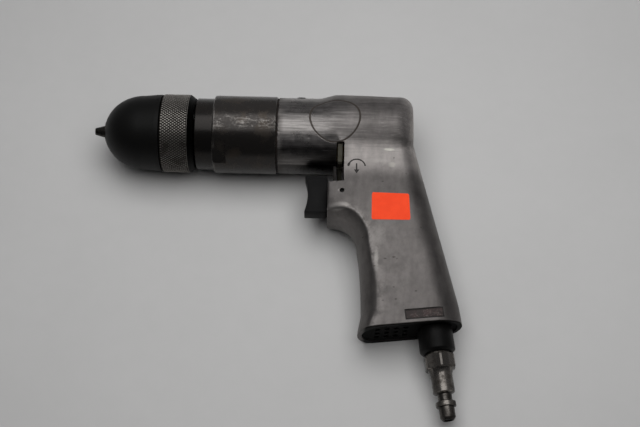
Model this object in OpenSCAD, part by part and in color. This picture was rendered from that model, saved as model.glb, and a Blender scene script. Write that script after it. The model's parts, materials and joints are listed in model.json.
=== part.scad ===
// Reversible pistol-grip air drill with a keyless chuck.
// X is the spindle axis with the chuck nose at the origin and the motor towards +X.
// The grip points towards -Y and the tool's left side faces +Z. Millimetres.

/* [Chuck] */
// length of the smooth turning sleeve
sleeve_len = 33; // [29:0.5:38]
// outer radius at the back of the turning sleeve
sleeve_r = 22; // [21:0.1:24]
// length of the knurled holding ring
ring_len = 18.6; // [17:0.2:20]
// how far the holding ring stands out past the sleeve
ring_step = 0.3; // [0:0.1:0.8]
// how far the closed jaws reach ahead of the nose
jaw_reach = 6; // [3:0.5:8]
// radius of one jaw rod
jaw_r = 3.2; // [2.8:0.1:3.4]
// travel of a jaw along its own axis
jaw_travel = 14; // [8:0.5:14.5]
// wall of the sleeve around the split nut
sleeve_wall = 5; // [4.4:0.1:5.6]
// wall of the split nut behind the jaws
nut_wall = 4.2; // [3.6:0.1:4.6]
// length of the split nut
nut_len = 6; // [5:0.2:7]
// radius of the bit bore behind the jaws
bit_bore_r = 5.1; // [4.8:0.1:5.3]

/* [Spindle and gear case] */
// bare length between the chuck and the gear case
chuck_gap = 1; // [0.8:0.1:3]
// length of the neck at the front of the gear case
neck_len = 10; // [6:0.5:11]
// how far the neck steps in from the gear case
neck_step = 1.8; // [1:0.1:3]
// length of the gear case behind the neck
case_len = 35.7; // [35:0.1:44]
// radius of the gear case
case_r = 22.2; // [21.9:0.1:24]
// wall of the gear case
case_wall = 2.1; // [1.8:0.1:2.3]
// length of the two wrench flats
flat_len = 7.6; // [5:0.2:12]
// depth of the wrench flats
flat_depth = 1.34; // [0.8:0.02:1.6]
// direction of the first wrench flat, from +Z towards -Y
flat_turn = 54; // [0:1:90]
// radius of the spindle in its bearing
spindle_r = 6; // [5.5:0.1:6.5]
// radius of the spindle thread
thread_r = 4.76; // [4.4:0.02:4.9]
// outer radius of the spindle bearing
bearing_r = 14; // [13:0.1:15]
// width of the spindle bearing
bearing_w = 8; // [7:0.2:9]

/* [Planet gears] */
// rim of the ring gear outside its teeth
gear_rim = 1.38; // [1.2:0.02:1.6]
// teeth on the rotor pinion
sun_teeth = 12; // [12:12:12]
// teeth on each planet
planet_teeth = 24; // [24:12:24]
// width of the planet gears
planet_w = 8; // [6:0.5:9]
// radius of the planet pins
planet_pin_r = 2.5; // [2:0.1:3]
// half of the clearance between meshing flanks
flank_gap = 0.05; // [0.04:0.01:0.08]

/* [Air motor] */
// wall of the housing's spigot around the motor
spigot_wall = 2.1; // [1.8:0.1:2.6]
// length of the motor cylinder
cyl_len = 32; // [26:0.5:32]
// thinnest wall of the motor cylinder
cyl_wall = 1.6; // [1.3:0.1:2]
// offset of the cylinder bore from the rotor axis
cyl_offset = 1.7; // [1:0.1:1.8]
// gap between the rotor and the cylinder where they are closest
rotor_gap = 0.4; // [0.3:0.05:0.8]
// number of vanes
vane_n = 5; // [3:1:6]
// thickness of a vane
vane_t = 1.9; // [1.5:0.1:2.2]
// thickness of each end plate
plate_t = 7; // [6.5:0.5:8]
// radius of the rotor journals
journal_r = 4.45; // [4.3:0.05:4.7]
// outer radius of the rotor bearings
rotor_brg_r = 8.5; // [8:0.1:9]

/* [Housing] */
// gap for the gasket between the gear case and the housing
joint_gap = 0.8; // [0.6:0.1:2]
// length of the housing barrel
barrel_len = 76.5; // [75:0.5:84]
// how far the barrel steps in from the gear case
barrel_step = 0.5; // [0:0.1:1]
// how far the back of the barrel swells upwards
swell = 2.6; // [0:0.1:4]
// corner radius at the back of the barrel
back_round = 6; // [3:0.5:8]
// how much rounder that corner gets towards the sides
side_round = 5; // [0:0.5:6]
// half thickness of the grip at the top
grip_half_top = 17; // [16.6:0.1:18]
// half thickness of the grip at the butt
grip_half_butt = 14.8; // [14.8:0.1:16.5]
// depth of the finger scoop under the trigger
scoop_r = 16.7; // [12:0.1:18]
// height of the finger scoop
scoop_rise = 17.7; // [15:0.1:19]
// length of the grip from the spindle axis to the butt
grip_len = 119.2; // [115:0.5:130]
// slope of the grip's back in degrees
back_slope = 13.9; // [11:0.1:15]
// slope of the butt in degrees
butt_slope = 6.5; // [5:0.1:8]
// flare at the front of the butt
butt_flare = 1.8; // [0:0.1:3]

/* [Trigger and throttle] */
// travel of the trigger
trigger_travel = 2.8; // [2.4:0.1:3.8]
// height of the trigger
trigger_h = 22.4; // [18:0.2:23]
// half thickness of the trigger
trigger_half = 4.8; // [4.2:0.1:5.6]
// thickness of the trigger from front to back
trigger_t = 13.2; // [10:0.1:13.6]
// depth of the hollow in the trigger's front
trigger_hollow = 2.3; // [1:0.1:3]
// height of the throttle bore below the spindle axis
throttle_drop = 41.3; // [39.5:0.1:42]
// radius of the throttle bore
throttle_r = 6.5; // [6:0.1:6.8]
// radius of the trigger stem
stem_r = 3.2; // [3:0.1:3.4]
// radius of the cross pin
cross_pin_r = 1.3; // [1:0.05:1.4]

/* [Reverse lever] */
// angle that the lever turns through
lever_turn = 22; // [14:1:24]
// thickness of the lever
lever_t = 2.7; // [2:0.1:3]
// width of the slot that the lever moves in
lever_slot_w = 4.3; // [4:0.1:5]
// height of the lever slot
lever_slot_h = 22.8; // [21.5:0.1:24]
// half width of the wall in front of the lever slot
web_half = 5; // [4:0.2:8]
// height of an ear of the lever
ear_h = 12.8; // [10:0.2:14]
// half width across the ears at their outer edge
ear_half = 18.3; // [17.5:0.1:19]

/* [Air inlet and exhaust] */
// length of the inlet bushing below the butt
bushing_len = 13.6; // [11:0.2:18]
// radius of the inlet bushing
bushing_r = 9.4; // [8.8:0.1:10.4]
// width of the plug's hexagon across its flats
hex_af = 15.3; // [14:0.1:16]
// length of the plug's hexagon
hex_len = 7.8; // [6:0.1:9]
// radius of the plug's tip
tip_r = 4.1; // [3.8:0.05:4.3]
// radius of the plug's collar
collar_r = 5.3; // [4.9:0.1:5.7]
// lean of the inlet against the butt in degrees
inlet_lean = 1.1; // [0:0.1:1.4]
// wall of the butt around the exhaust chamber
butt_wall = 2.3; // [1.8:0.1:2.4]
// depth of the exhaust chamber
chamber_depth = 16; // [12:0.5:18]

/* [Fits] */
// radial clearance of a running fit
run_fit = 0.06; // [0.04:0.01:0.09]
// radial clearance of a fixed fit
seat_fit = 0.05; // [0.02:0.01:0.08]
// free gap between separate pieces that move
free_gap = 0.35; // [0.3:0.05:0.5]

/* [Quality] */
// segments around the barrel
barrel_n = 60; // [36:4:84]
// segments on one quarter of a grip section
quarter_n = 9; // [6:1:12]

/* [Hidden] */
$fn = 72;

// stations along the spindle axis
ring_x = sleeve_len + 0.4;
ring_end_x = ring_x + ring_len;
neck_x = ring_end_x + chuck_gap;
case_x = neck_x + neck_len;
case_end_x = case_x + case_len;
barrel_x = case_end_x + joint_gap;
back_x = barrel_x + barrel_len;

// chuck
dome_len = 23;
dome_r = sleeve_r - 0.9;
nose_hole_r = bit_bore_r + 1.4;
jaw_tip_r = 2.85;
nut_x = 15.3;
nut_end_x = nut_x + nut_len;
nut_r = sleeve_r - sleeve_wall;
core_r = nut_r - 6.2;
ring_r = sleeve_r + ring_step;
jaw_angle = atan((nut_r - nut_wall - jaw_tip_r) / (nut_end_x + jaw_reach));
jaw_axis_0 = jaw_tip_r - jaw_r / cos(jaw_angle) + jaw_reach * tan(jaw_angle);
jaw_back = 23.4;
function jaw_outer(x) = jaw_axis_0 + x * tan(jaw_angle) + jaw_r / cos(jaw_angle);
washer_x = nut_end_x + 0.2;
washer_t = 2;
flange_x = washer_x + washer_t;
cavity_r = sleeve_r - 3.1;
flange_r = nut_r - 0.4;
core_end_x = ring_end_x - 2;
seat_x = core_end_x - 7;
thread_x = seat_x - 8;

// radii that follow the gear case
case_bore_r = case_r - case_wall;
neck_r = case_r - neck_step;
barrel_r = case_r - barrel_step;
motor_bore_r = case_bore_r - spigot_wall;

// spindle and gear case
hole_r = spindle_r + 3.3;
bearing_x = neck_x + 2;
bearing_end_x = bearing_x + bearing_w;
clip_t = 1.2;
cavity_x = bearing_end_x + clip_t + 1.3;
carrier_x = cavity_x + 0.7;
carrier_t = 4.8;
planet_x = carrier_x + carrier_t + 0.5;
front_plate_x = planet_x + planet_w + 1.5;
ring_gear_x = carrier_x + carrier_t - 0.4;

// planet gears
ring_teeth = sun_teeth + 2 * planet_teeth;
gear_m = (case_bore_r - gear_rim) / (ring_teeth / 2 + 1.2);
pressure = 25;
gear_arm = gear_m * (sun_teeth + planet_teeth) / 2;
tip_add = 0.9 * gear_m;
root_add = 1.2 * gear_m;
function pitch_r(z) = gear_m * z / 2;
function inv_deg(a) = tan(a) * 180 / PI - a;
function roll_deg(rb, r) = r <= rb ? 0 : inv_deg(acos(rb / r));
function half_deg(z, r, grow) = 90 / z + grow * 180 / PI / pitch_r(z) + inv_deg(pressure)
  - roll_deg(pitch_r(z) * cos(pressure), r);
function tooth(z, a, ri, ro, grow) = [
  for (k = [0:4]) let (r = ri + (ro - ri) * k / 4) r * [cos(a - half_deg(z, r, grow)), sin(a - half_deg(z, r, grow))],
  for (k = [4:-1:0]) let (r = ri + (ro - ri) * k / 4) r * [cos(a + half_deg(z, r, grow)), sin(a + half_deg(z, r, grow))]];
function gear_points(z, ri, ro, grow) = [for (i = [0:z - 1]) each tooth(z, 360 * i / z, ri, ro, grow)];

// air motor
cyl_x = front_plate_x + plate_t;
cyl_end_x = cyl_x + cyl_len;
rear_plate_end_x = cyl_end_x + plate_t;
rotor_brg_w = 5;
motor_r = motor_bore_r - 2 * seat_fit;
cyl_bore_r = motor_r - cyl_offset - cyl_wall;
rotor_r = cyl_bore_r - cyl_offset - rotor_gap;
slot_bed_r = 5.6;

// reverse lever
web_t = 1.6;
lever_slot_x = rear_plate_end_x + 5.8;
lever_x = lever_slot_x + 0.6;
valve_x = rear_plate_end_x + 0.3;
valve_len = 11.2;
valve_r = motor_bore_r - 4;
port_r = (journal_r + 1 + valve_r) / 2;
lever_slot_top = 0.7 * motor_bore_r;
lever_slot_foot = lever_slot_top + lever_slot_h;
bore_end_x = valve_x + valve_len + 0.5;
chamber_end_x = back_x - 15;
chamber_r = valve_r;

// trigger and throttle
web_x = lever_slot_x - web_t;
face_x = web_x - 2.9;
trigger_back_x = web_x - trigger_travel - 0.2;
trigger_x = trigger_back_x - trigger_t;
trigger_mid = throttle_drop - 2.9;
throttle_end_x = web_x + 39.4;
bushing_x = web_x + 0.6;
bushing_end_x = bushing_x + 19;
valve_seat_x = bushing_end_x + 0.4;
poppet_x = valve_seat_x + 5.4;
cross_pin_x = web_x + 5;
wire_r = 0.55;
spring_r = 3.9;
spring_turns = 5.5;
spring_n = 110;
spring_x = poppet_x - 1.9 + wire_r;
spring_end_x = throttle_end_x - 0.1 - wire_r;

// grip
fan = [face_x, -throttle_drop - scoop_rise - 12.5];
function back_line(y) = back_x - 1.2 + tan(back_slope) * (0.5 - y);
butt_front_y = -grip_len;
front_at_fan = face_x + scoop_r;
function ease(t) = t <= 0 ? 0 : t >= 1 ? 1 : t * t * (3 - 2 * t);
function front_line(y) = front_at_fan + 2.9 * (1 - exp((y - fan[1]) / 14))
  - butt_flare * ease((fan[1] - 35.5 - y) / (grip_len + fan[1] - 35.5));
butt_front = [front_line(butt_front_y), butt_front_y];
butt_run = (back_line(butt_front_y) - butt_front[0]) / (1 + tan(butt_slope) * tan(back_slope));
butt_back = butt_front + butt_run * [1, tan(butt_slope)];
butt_len = norm(butt_back - butt_front);
butt_dir = (butt_back - butt_front) / butt_len;
inlet_at = butt_back - butt_dir * (butt_wall + 13.5);
chamber_half = grip_half_butt - butt_wall;
chamber_front = inlet_at * butt_dir - butt_front * butt_dir - butt_wall - chamber_half;
cover_t = 2;
cover_in = 0.6;
room_half = chamber_half - 0.6;
room_front = chamber_front - 4;
column_r = chamber_half - 3.4;
shank_r = column_r - 2;

// a grip section from its front point f to its back point b
function grip_section(f, b, half, rf, rb, nf, nb) =
  let (len = norm(b - f), d = (b - f) / len)
  [
    for (i = [0:quarter_n]) let (p = 90 * i / quarter_n, t = rf * (1 - pow(cos(p), 2 / nf)))
      [f[0] + d[0] * t, f[1] + d[1] * t, half * pow(sin(p), 2 / nf)],
    for (i = [quarter_n:-1:0]) let (p = 90 * i / quarter_n, t = len - rb * (1 - pow(cos(p), 2 / nb)))
      [f[0] + d[0] * t, f[1] + d[1] * t, half * pow(sin(p), 2 / nb)],
    for (i = [1:quarter_n]) let (p = 90 * i / quarter_n, t = len - rb * (1 - pow(cos(p), 2 / nb)))
      [f[0] + d[0] * t, f[1] + d[1] * t, -half * pow(sin(p), 2 / nb)],
    for (i = [quarter_n:-1:1]) let (p = 90 * i / quarter_n, t = rf * (1 - pow(cos(p), 2 / nf)))
      [f[0] + d[0] * t, f[1] + d[1] * t, -half * pow(sin(p), 2 / nf)]];
grip_top = 2;
fan_n = 12;
low_n = 11;
function fan_back(a) = let (reach = (back_line(fan[1]) - fan[0]) / (cos(a) + tan(back_slope) * sin(a)))
  a < 1 ? reach : min(reach, (grip_top - fan[1]) / sin(a));
function fan_section(a) = let (d = [cos(a), sin(a)], s = 1 - a / 90)
  grip_section(fan + [scoop_r * d[0], scoop_rise * d[1]], fan + fan_back(a) * d,
    grip_half_top - 0.5 * s, 8 + 1.5 * s, 15, 2.5, 2.2);
function low_section(t, inset) =
  let (fy = fan[1] + t * (butt_front_y - fan[1]), by = fan[1] + t * (butt_back[1] - fan[1]))
  let (f = [front_line(fy), fy], b = [back_line(by), by], d = (b - f) / norm(b - f))
  grip_section(f + d * inset, b - d * inset,
    grip_half_top - 0.5 + t * (grip_half_butt - grip_half_top + 0.5) - inset,
    9.5 + 2.5 * ease(t), 15 + 2 * t, 2.5 - 0.3 * ease(t), 2.2);
grip_rings = concat(
  [low_section(1, 0.8)],
  [for (i = [low_n:-1:1]) low_section(0.985 * i / low_n, 0)],
  [for (i = [0:fan_n]) fan_section(90 * i / fan_n)]);

oil_x = barrel_x + 12.5;

// the barrel as rings of points around the spindle axis
function swell_at(x) = swell * ease((x - barrel_x - 22) / 12) * (1 - 0.25 * ease((x - barrel_x - 36) / 40));
function inset_at(x, a) = let (c = back_round + side_round * pow(sin(a), 2), e = x - back_x + c)
  e <= 0 ? 0 : c - sqrt(max(0, c * c - e * e));
function barrel_ring(x) = [for (i = [0:barrel_n - 1]) let (a = 360 * i / barrel_n,
  r = barrel_r + swell_at(x) * pow((1 + cos(a)) / 2, 1.2) - inset_at(x, a)) [x, r * cos(a), r * sin(a)]];
barrel_stations = concat([barrel_x, barrel_x + 22], [for (i = [1:8]) barrel_x + 22 + 1.5 * i],
  [barrel_x + 46, barrel_x + 58], [for (i = [0:9]) back_x - (back_round + side_round) * (1 - sin(10 * i))]);
barrel_rings = [for (x = barrel_stations) barrel_ring(x)];

// closes a stack of point rings into one solid
module loft(rings) {
  n = len(rings[0]);
  m = len(rings);
  polyhedron(
    points = [for (r = rings) each r],
    faces = concat(
      [for (j = [0:m - 2], i = [0:n - 1]) [j * n + i, (j + 1) * n + i, j * n + (i + 1) % n]],
      [for (j = [0:m - 2], i = [0:n - 1]) [(j + 1) * n + i, (j + 1) * n + (i + 1) % n, j * n + (i + 1) % n]],
      [[for (i = [0:n - 1]) i]],
      [[for (i = [n - 1:-1:0]) (m - 1) * n + i]]),
    convexity = 8);
}

// places a shape drawn along z onto the spindle axis at x
module along(x) {
  translate([x, 0, 0])
    rotate([90, 0, 90])
      children();
}

// a solid ring on the spindle axis
module band(x0, x1, r, ri) {
  along(x0)
    difference() {
      cylinder(h = x1 - x0, r = r);
      translate([0, 0, -1])
        cylinder(h = x1 - x0 + 2, r = ri);
    }
}

// a solid cylinder on the spindle axis
module rod(x0, x1, r) {
  along(x0)
    cylinder(h = x1 - x0, r = r);
}

// a cone on the spindle axis
module taper(x0, x1, r0, r1) {
  along(x0)
    cylinder(h = x1 - x0, r1 = r0, r2 = r1);
}

// a straight passage between two points
module passage(a, b, r) {
  v = b - a;
  translate(a)
    rotate([0, acos(v[2] / norm(v)), atan2(v[1], v[0])])
      cylinder(h = norm(v), r = r);
}

// the frame of the butt, with z pointing down along the inlet axis
module butt() {
  translate([inlet_at[0], inlet_at[1], 0])
    rotate([0, 0, butt_slope])
      rotate([90, 0, 0])
        children();
}

// the frame of the inlet, leaning a little against the butt
module inlet() {
  translate([inlet_at[0], inlet_at[1], 0])
    rotate([0, 0, butt_slope + inlet_lean])
      rotate([90, 0, 0])
        children();
}

// a long rounded outline in the frame of the butt
module chamber(z0, z1, reach, r) {
  translate([0, 0, z0])
    cylinder(h = z1 - z0, r = r);
  translate([-reach, 0, z0])
    cylinder(h = z1 - z0, r = r);
  translate([-reach, -r, z0])
    cube([reach, 2 * r, z1 - z0]);
}

// the cylinder that one jaw slides in
module jaw_rod(r, ahead, behind) {
  translate([0, 0, jaw_axis_0])
    rotate([0, 90 - jaw_angle, 0])
      translate([0, 0, -ahead])
        cylinder(h = ahead + behind, r = r);
}

module jaw_bores() {
  for (k = [0:2])
    rotate([120 * k, 0, 0])
      jaw_rod(jaw_r + run_fit, 14, jaw_back + jaw_travel + 0.6);
}

module jaw(k) {
  color([0.62, 0.62, 0.6])
    rotate([120 * k, 0, 0])
      difference() {
        intersection() {
          jaw_rod(jaw_r, 12, jaw_back);
          along(-jaw_reach)
            linear_extrude(height = 60)
              polygon([[0, 0.2], [35, 20.4], [-35, 20.4]]);
        }
        along(-jaw_reach - 1)
          difference() {
            cylinder(h = jaw_reach + 2.3, r = 12);
            translate([0, 0, -0.01])
              cylinder(h = jaw_reach + 2.32, r1 = jaw_tip_r - 1.15, r2 = jaw_tip_r + 1.05);
          }
      }
}

module jaw_1() {
  jaw(0);
}

module jaw_2() {
  jaw(1);
}

module jaw_3() {
  jaw(2);
}

module chuck_sleeve() {
  start = asin(nose_hole_r / dome_r);
  color([0.06, 0.06, 0.065])
    difference() {
      along(0)
        rotate_extrude()
          polygon(concat([[nose_hole_r, dome_len * (1 - cos(start)) - 0.6]],
            [for (i = [1:15]) let (a = start + (90 - start) * i / 15) [dome_r * sin(a), dome_len * (1 - cos(a)) - 0.6]],
            [[sleeve_r, sleeve_len - 0.5], [sleeve_r - 0.5, sleeve_len], [nose_hole_r, sleeve_len]]));
      rod(-1, 1.7, nose_hole_r);
      taper(1.69, 5.7, nose_hole_r, core_r + run_fit);
      rod(5.69, 14, core_r + run_fit);
      rod(13.5, nut_end_x + 0.1, nut_r);
      rod(nut_end_x, sleeve_len + 1, cavity_r);
    }
}

module chuck_ring() {
  color([0.5, 0.49, 0.47])
    difference() {
      union() {
        rod(ring_x + 0.6, ring_end_x - 3.2, ring_r);
        taper(ring_x, ring_x + 0.61, ring_r - 0.6, ring_r);
        taper(ring_end_x - 3.21, ring_end_x, ring_r, ring_r - 2.4);
      }
      rod(ring_x - 1, seat_x, cavity_r);
      rod(seat_x - 1, ring_end_x + 1, nut_r);
    }
}

module chuck_body() {
  color([0.2, 0.2, 0.2])
    difference() {
      union() {
        rod(0.3, 2.1, nose_hole_r - free_gap);
        taper(2, 6, nose_hole_r - free_gap, core_r);
        rod(5.9, 13.2, core_r);
        rod(13, flange_x + 1, core_r - 0.3);
        rod(flange_x, seat_x, flange_r);
        rod(seat_x, core_end_x, nut_r);
      }
      rod(-1, thread_x - 4, bit_bore_r);
      rod(thread_x - 5, thread_x + 1, 2.1);
      rod(thread_x, core_end_x + 1, thread_r + seat_fit);
      jaw_bores();
    }
}

module chuck_nut() {
  color([0.45, 0.44, 0.42])
    difference() {
      rod(nut_x, nut_end_x, nut_r);
      taper(nut_x - 1, nut_end_x + 1, jaw_outer(nut_x - 1) + free_gap, jaw_outer(nut_end_x + 1) + free_gap);
    }
}

module thrust_washer() {
  color([0.6, 0.6, 0.58])
    band(washer_x, flange_x, flange_r, jaw_outer(flange_x) + free_gap + 0.2);
}

module chuck_screw() {
  color([0.4, 0.4, 0.4])
    difference() {
      union() {
        rod(thread_x - 7, thread_x - 4, 3.8);
        rod(thread_x - 4.1, thread_x + 12, 2);
      }
      translate([thread_x - 8, -0.5, -5])
        cube([2.2, 1, 10]);
    }
}

module spindle() {
  color([0.6, 0.6, 0.58])
    difference() {
      union() {
        rod(thread_x + 1, core_end_x + 0.1, thread_r);
        rod(core_end_x, bearing_x - 0.3, spindle_r + 2.4);
        rod(bearing_x - 0.4, bearing_end_x + 0.4, spindle_r);
        rod(bearing_end_x + free_gap, carrier_x + 0.1, spindle_r + 2);
        rod(carrier_x, carrier_x + carrier_t, gear_arm + 5.4);
      }
      rod(thread_x, thread_x + 14, 2.05);
      for (k = [0:2])
        rotate([120 * k, 0, 0])
          translate([0, gear_arm, 0])
            rod(carrier_x - 1, carrier_x + carrier_t + 1, planet_pin_r);
      rod(carrier_x + 1.5, carrier_x + carrier_t + 1, pitch_r(sun_teeth) + 2);
    }
}

module planet_pins() {
  color([0.66, 0.66, 0.64])
    for (k = [0:2])
      rotate([120 * k, 0, 0])
        translate([0, gear_arm, 0])
          rod(carrier_x, planet_x + planet_w + 0.6, planet_pin_r);
}

module planet(k) {
  color([0.55, 0.53, 0.5])
    rotate([120 * k, 0, 0])
      translate([0, gear_arm, 0])
        rotate([-120 * k, 0, 0])
          difference() {
            along(planet_x)
              rotate(180 / planet_teeth)
                linear_extrude(height = planet_w)
                  polygon(gear_points(planet_teeth, pitch_r(planet_teeth) - root_add,
                    pitch_r(planet_teeth) + tip_add, -flank_gap));
            rod(planet_x - 1, planet_x + planet_w + 1, planet_pin_r + run_fit);
          }
}

module planet_1() {
  planet(0);
}

module planet_2() {
  planet(1);
}

module planet_3() {
  planet(2);
}

module ring_gear() {
  color([0.5, 0.48, 0.45])
    difference() {
      rod(ring_gear_x, front_plate_x, case_bore_r - seat_fit);
      along(ring_gear_x - 1)
        rotate(180 / ring_teeth)
          linear_extrude(height = front_plate_x - ring_gear_x + 2)
            polygon(gear_points(ring_teeth, pitch_r(ring_teeth) - tip_add,
              pitch_r(ring_teeth) + root_add, flank_gap));
    }
}

module gear_case() {
  color([0.13, 0.12, 0.115])
    difference() {
      union() {
        taper(neck_x, neck_x + 0.8, neck_r - 0.8, neck_r);
        rod(neck_x + 0.79, case_x + 1, neck_r);
        taper(case_x, case_x + 0.6, case_r - 0.6, case_r);
        rod(case_x + 0.59, case_end_x - 0.4, case_r);
        taper(case_end_x - 0.41, case_end_x, case_r, case_r - 0.4);
      }
      rod(neck_x - 1, bearing_x + 1, hole_r);
      rod(bearing_x, cavity_x + 1, bearing_r + seat_fit);
      rod(bearing_end_x, bearing_end_x + clip_t + 0.1, bearing_r + 0.9);
      rod(cavity_x, case_end_x + 1, case_bore_r);
      for (s = [0, 180])
        rotate([flat_turn + s, 0, 0])
          translate([case_x - 1, -20, case_r - flat_depth])
            cube([flat_len + 1, 40, 10]);
    }
}

module spindle_bearing() {
  color([0.7, 0.7, 0.68])
    difference() {
      rod(bearing_x, bearing_end_x, bearing_r);
      rod(bearing_x - 1, bearing_end_x + 1, spindle_r + run_fit);
      band(bearing_x - 1, bearing_x + 0.5, bearing_r - 2, spindle_r + 2);
      band(bearing_end_x - 0.5, bearing_end_x + 1, bearing_r - 2, spindle_r + 2);
    }
}

module bearing_clip() {
  color([0.35, 0.35, 0.35])
    difference() {
      band(bearing_end_x, bearing_end_x + clip_t, bearing_r + 0.8, bearing_r - 1.8);
      translate([bearing_end_x - 1, bearing_r - 4, -2])
        cube([clip_t + 2, 8, 4]);
    }
}

module spindle_seal() {
  color([0.05, 0.05, 0.05])
    band(neck_x + 0.4, bearing_x, hole_r, spindle_r + 2.4 + free_gap);
}

module case_gasket() {
  color([0.2, 0.09, 0.06])
    band(case_end_x, barrel_x, barrel_r - 0.5, case_bore_r);
}

module front_plate() {
  color([0.58, 0.57, 0.55])
    difference() {
      rod(front_plate_x, cyl_x, case_bore_r - seat_fit);
      rod(front_plate_x - 1, front_plate_x + rotor_brg_w, rotor_brg_r + seat_fit);
      rod(front_plate_x, cyl_x + 1, rotor_brg_r - 2);
    }
}

module rotor_bearing(x) {
  color([0.7, 0.7, 0.68])
    difference() {
      rod(x, x + rotor_brg_w, rotor_brg_r);
      rod(x - 1, x + rotor_brg_w + 1, journal_r + run_fit);
      band(x - 1, x + 0.4, rotor_brg_r - 1.3, journal_r + 1.3);
      band(x + rotor_brg_w - 0.4, x + rotor_brg_w + 1, rotor_brg_r - 1.3, journal_r + 1.3);
    }
}

module front_bearing() {
  rotor_bearing(front_plate_x);
}

module rear_bearing() {
  rotor_bearing(rear_plate_end_x - rotor_brg_w);
}

module motor_cylinder() {
  color([0.5, 0.5, 0.49])
    difference() {
      rod(cyl_x, cyl_end_x, motor_r);
      translate([0, cyl_offset, 0])
        rod(cyl_x - 1, cyl_end_x + 1, cyl_bore_r);
      for (k = [0:4])
        translate([cyl_x + cyl_len * (k + 1) / 6, 0, 0])
          rotate([90, 0, 0])
            cylinder(h = motor_r + 2, r = 1.6);
    }
}

module rotor() {
  color([0.56, 0.56, 0.54])
    difference() {
      union() {
        rod(cyl_x + free_gap, cyl_end_x - free_gap, rotor_r);
        rod(front_plate_x - 0.6, cyl_x + 1, journal_r);
        rod(cyl_end_x - 1, rear_plate_end_x - 0.4, journal_r);
        along(planet_x - 0.2)
          linear_extrude(height = front_plate_x - planet_x)
            polygon(gear_points(sun_teeth, pitch_r(sun_teeth) - root_add, pitch_r(sun_teeth) + tip_add, -flank_gap));
      }
      for (k = [0:vane_n - 1])
        rotate([360 * k / vane_n, 0, 0])
          translate([cyl_x - 1, slot_bed_r, -vane_t / 2 - seat_fit])
            cube([cyl_len + 2, 20, vane_t + 2 * seat_fit]);
    }
}

module vanes() {
  color([0.3, 0.2, 0.12])
    for (k = [0:vane_n - 1])
      rotate([360 * k / vane_n, 0, 0])
        translate([cyl_x + 0.5, slot_bed_r + 0.3, -vane_t / 2])
          cube([cyl_len - 1, rotor_r - slot_bed_r - 0.45, vane_t]);
}

module rear_plate() {
  color([0.58, 0.57, 0.55])
    difference() {
      rod(cyl_end_x, rear_plate_end_x, motor_r);
      rod(rear_plate_end_x - rotor_brg_w, rear_plate_end_x + 1, rotor_brg_r + seat_fit);
      rod(cyl_end_x - 1, rear_plate_end_x, rotor_brg_r - 2);
      for (s = [-1, 1])
        rotate([s * 50, 0, 0])
          translate([0, rotor_brg_r + 3, 0])
            rod(cyl_end_x - 1, rear_plate_end_x + 1, 1.7);
    }
}

module reverse_valve() {
  color([0.72, 0.6, 0.33])
    difference() {
      rod(valve_x, valve_x + valve_len, valve_r);
      rod(valve_x - 1, valve_x + valve_len + 1, journal_r + 1);
      for (s = [-1, 1])
        rotate([s * 50, 0, 0])
          translate([0, port_r, 0])
            rod(valve_x - 1, valve_x + valve_len + 1, 2);
    }
}

// one ear of the lever, drawn with y across the tool and x along the grip
module ear() {
  top = -lever_slot_top - 0.4;
  root = sqrt(pow(motor_bore_r - 1.2, 2) - top * top);
  heel = sqrt(pow(motor_bore_r - 0.65, 2) - pow(top - 1.6, 2));
  polygon([[top, root], [top, ear_half - 1], [top - 1, ear_half], [top + 1 - ear_h, ear_half],
    [top - ear_h, ear_half - 1], [top - ear_h, ear_half - 5.9], [top - 1.6, heel]]);
}

module reverse_lever() {
  color([0.5, 0.48, 0.44]) {
    band(lever_x, lever_x + lever_t, motor_bore_r - free_gap, valve_r);
    along(lever_x + 0.1)
      linear_extrude(height = lever_t - 0.2)
        ear();
    along(lever_x + 0.1)
      rotate(-lever_turn)
        mirror([0, 1, 0])
          linear_extrude(height = lever_t - 0.2)
            ear();
  }
}

module housing_form() {
  loft(barrel_rings);
  difference() {
    loft(grip_rings);
    translate([face_x - 1, -lever_slot_foot, web_half])
      cube([lever_slot_x - face_x + 1.1, 60, 40]);
    translate([face_x - 1, -lever_slot_foot, -web_half - 40])
      cube([lever_slot_x - face_x + 1.1, 60, 40]);
    translate([face_x - 1, -trigger_mid - trigger_h / 2 - 1, -trigger_half - 0.6])
      cube([web_x - face_x + 1, 80, 2 * trigger_half + 1.2]);
  }
  rod(cyl_x, barrel_x + 1, case_bore_r - seat_fit);
}

module housing() {
  color([0.66, 0.64, 0.6])
    difference() {
      housing_form();
      rod(cyl_x - 1, bore_end_x, motor_bore_r);
      rod(bore_end_x - 1, chamber_end_x, chamber_r);
      translate([lever_slot_x, -lever_slot_foot, -30])
        cube([lever_slot_w, lever_slot_foot - lever_slot_top, 60]);
      translate([0, -throttle_drop, 0])
        rod(web_x - 2, throttle_end_x, throttle_r);
      translate([cross_pin_x, -throttle_drop, -30])
        cylinder(h = 60, r = cross_pin_r + seat_fit);
      passage([bushing_end_x - 5, -throttle_drop, 0], [bore_end_x + 3, 0, 0], 3);
      for (s = [-1, 1])
        passage([bore_end_x + 5, -9, s * 9], [inlet_at[0] - chamber_front + 1, inlet_at[1] + 12, s * 9], 2.8);
      passage([throttle_end_x - 5, -throttle_drop, 0], [inlet_at[0] - 3, inlet_at[1] + 24, 0], 4);
      difference() {
        butt() {
          chamber(-cover_t - cover_in, 2, chamber_front, chamber_half);
          chamber(-chamber_depth, -cover_t, room_front, room_half);
        }
        inlet()
          translate([0, 0, -chamber_depth - 1])
            cylinder(h = chamber_depth + 0.75 - cover_t - cover_in, r = column_r);
      }
      inlet()
        translate([0, 0, -chamber_depth - 9])
          cylinder(h = chamber_depth + 11, r = shank_r + seat_fit);
      rotate([24, 0, 0])
        translate([oil_x, 0, 0])
          rotate([-90, 0, 0])
            cylinder(h = 40, r = 2.4 + seat_fit);
      butt()
        translate([-16.2, grip_half_butt - 0.6, -7.8])
          cube([20.6, 6, 5.7]);
    }
}

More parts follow.
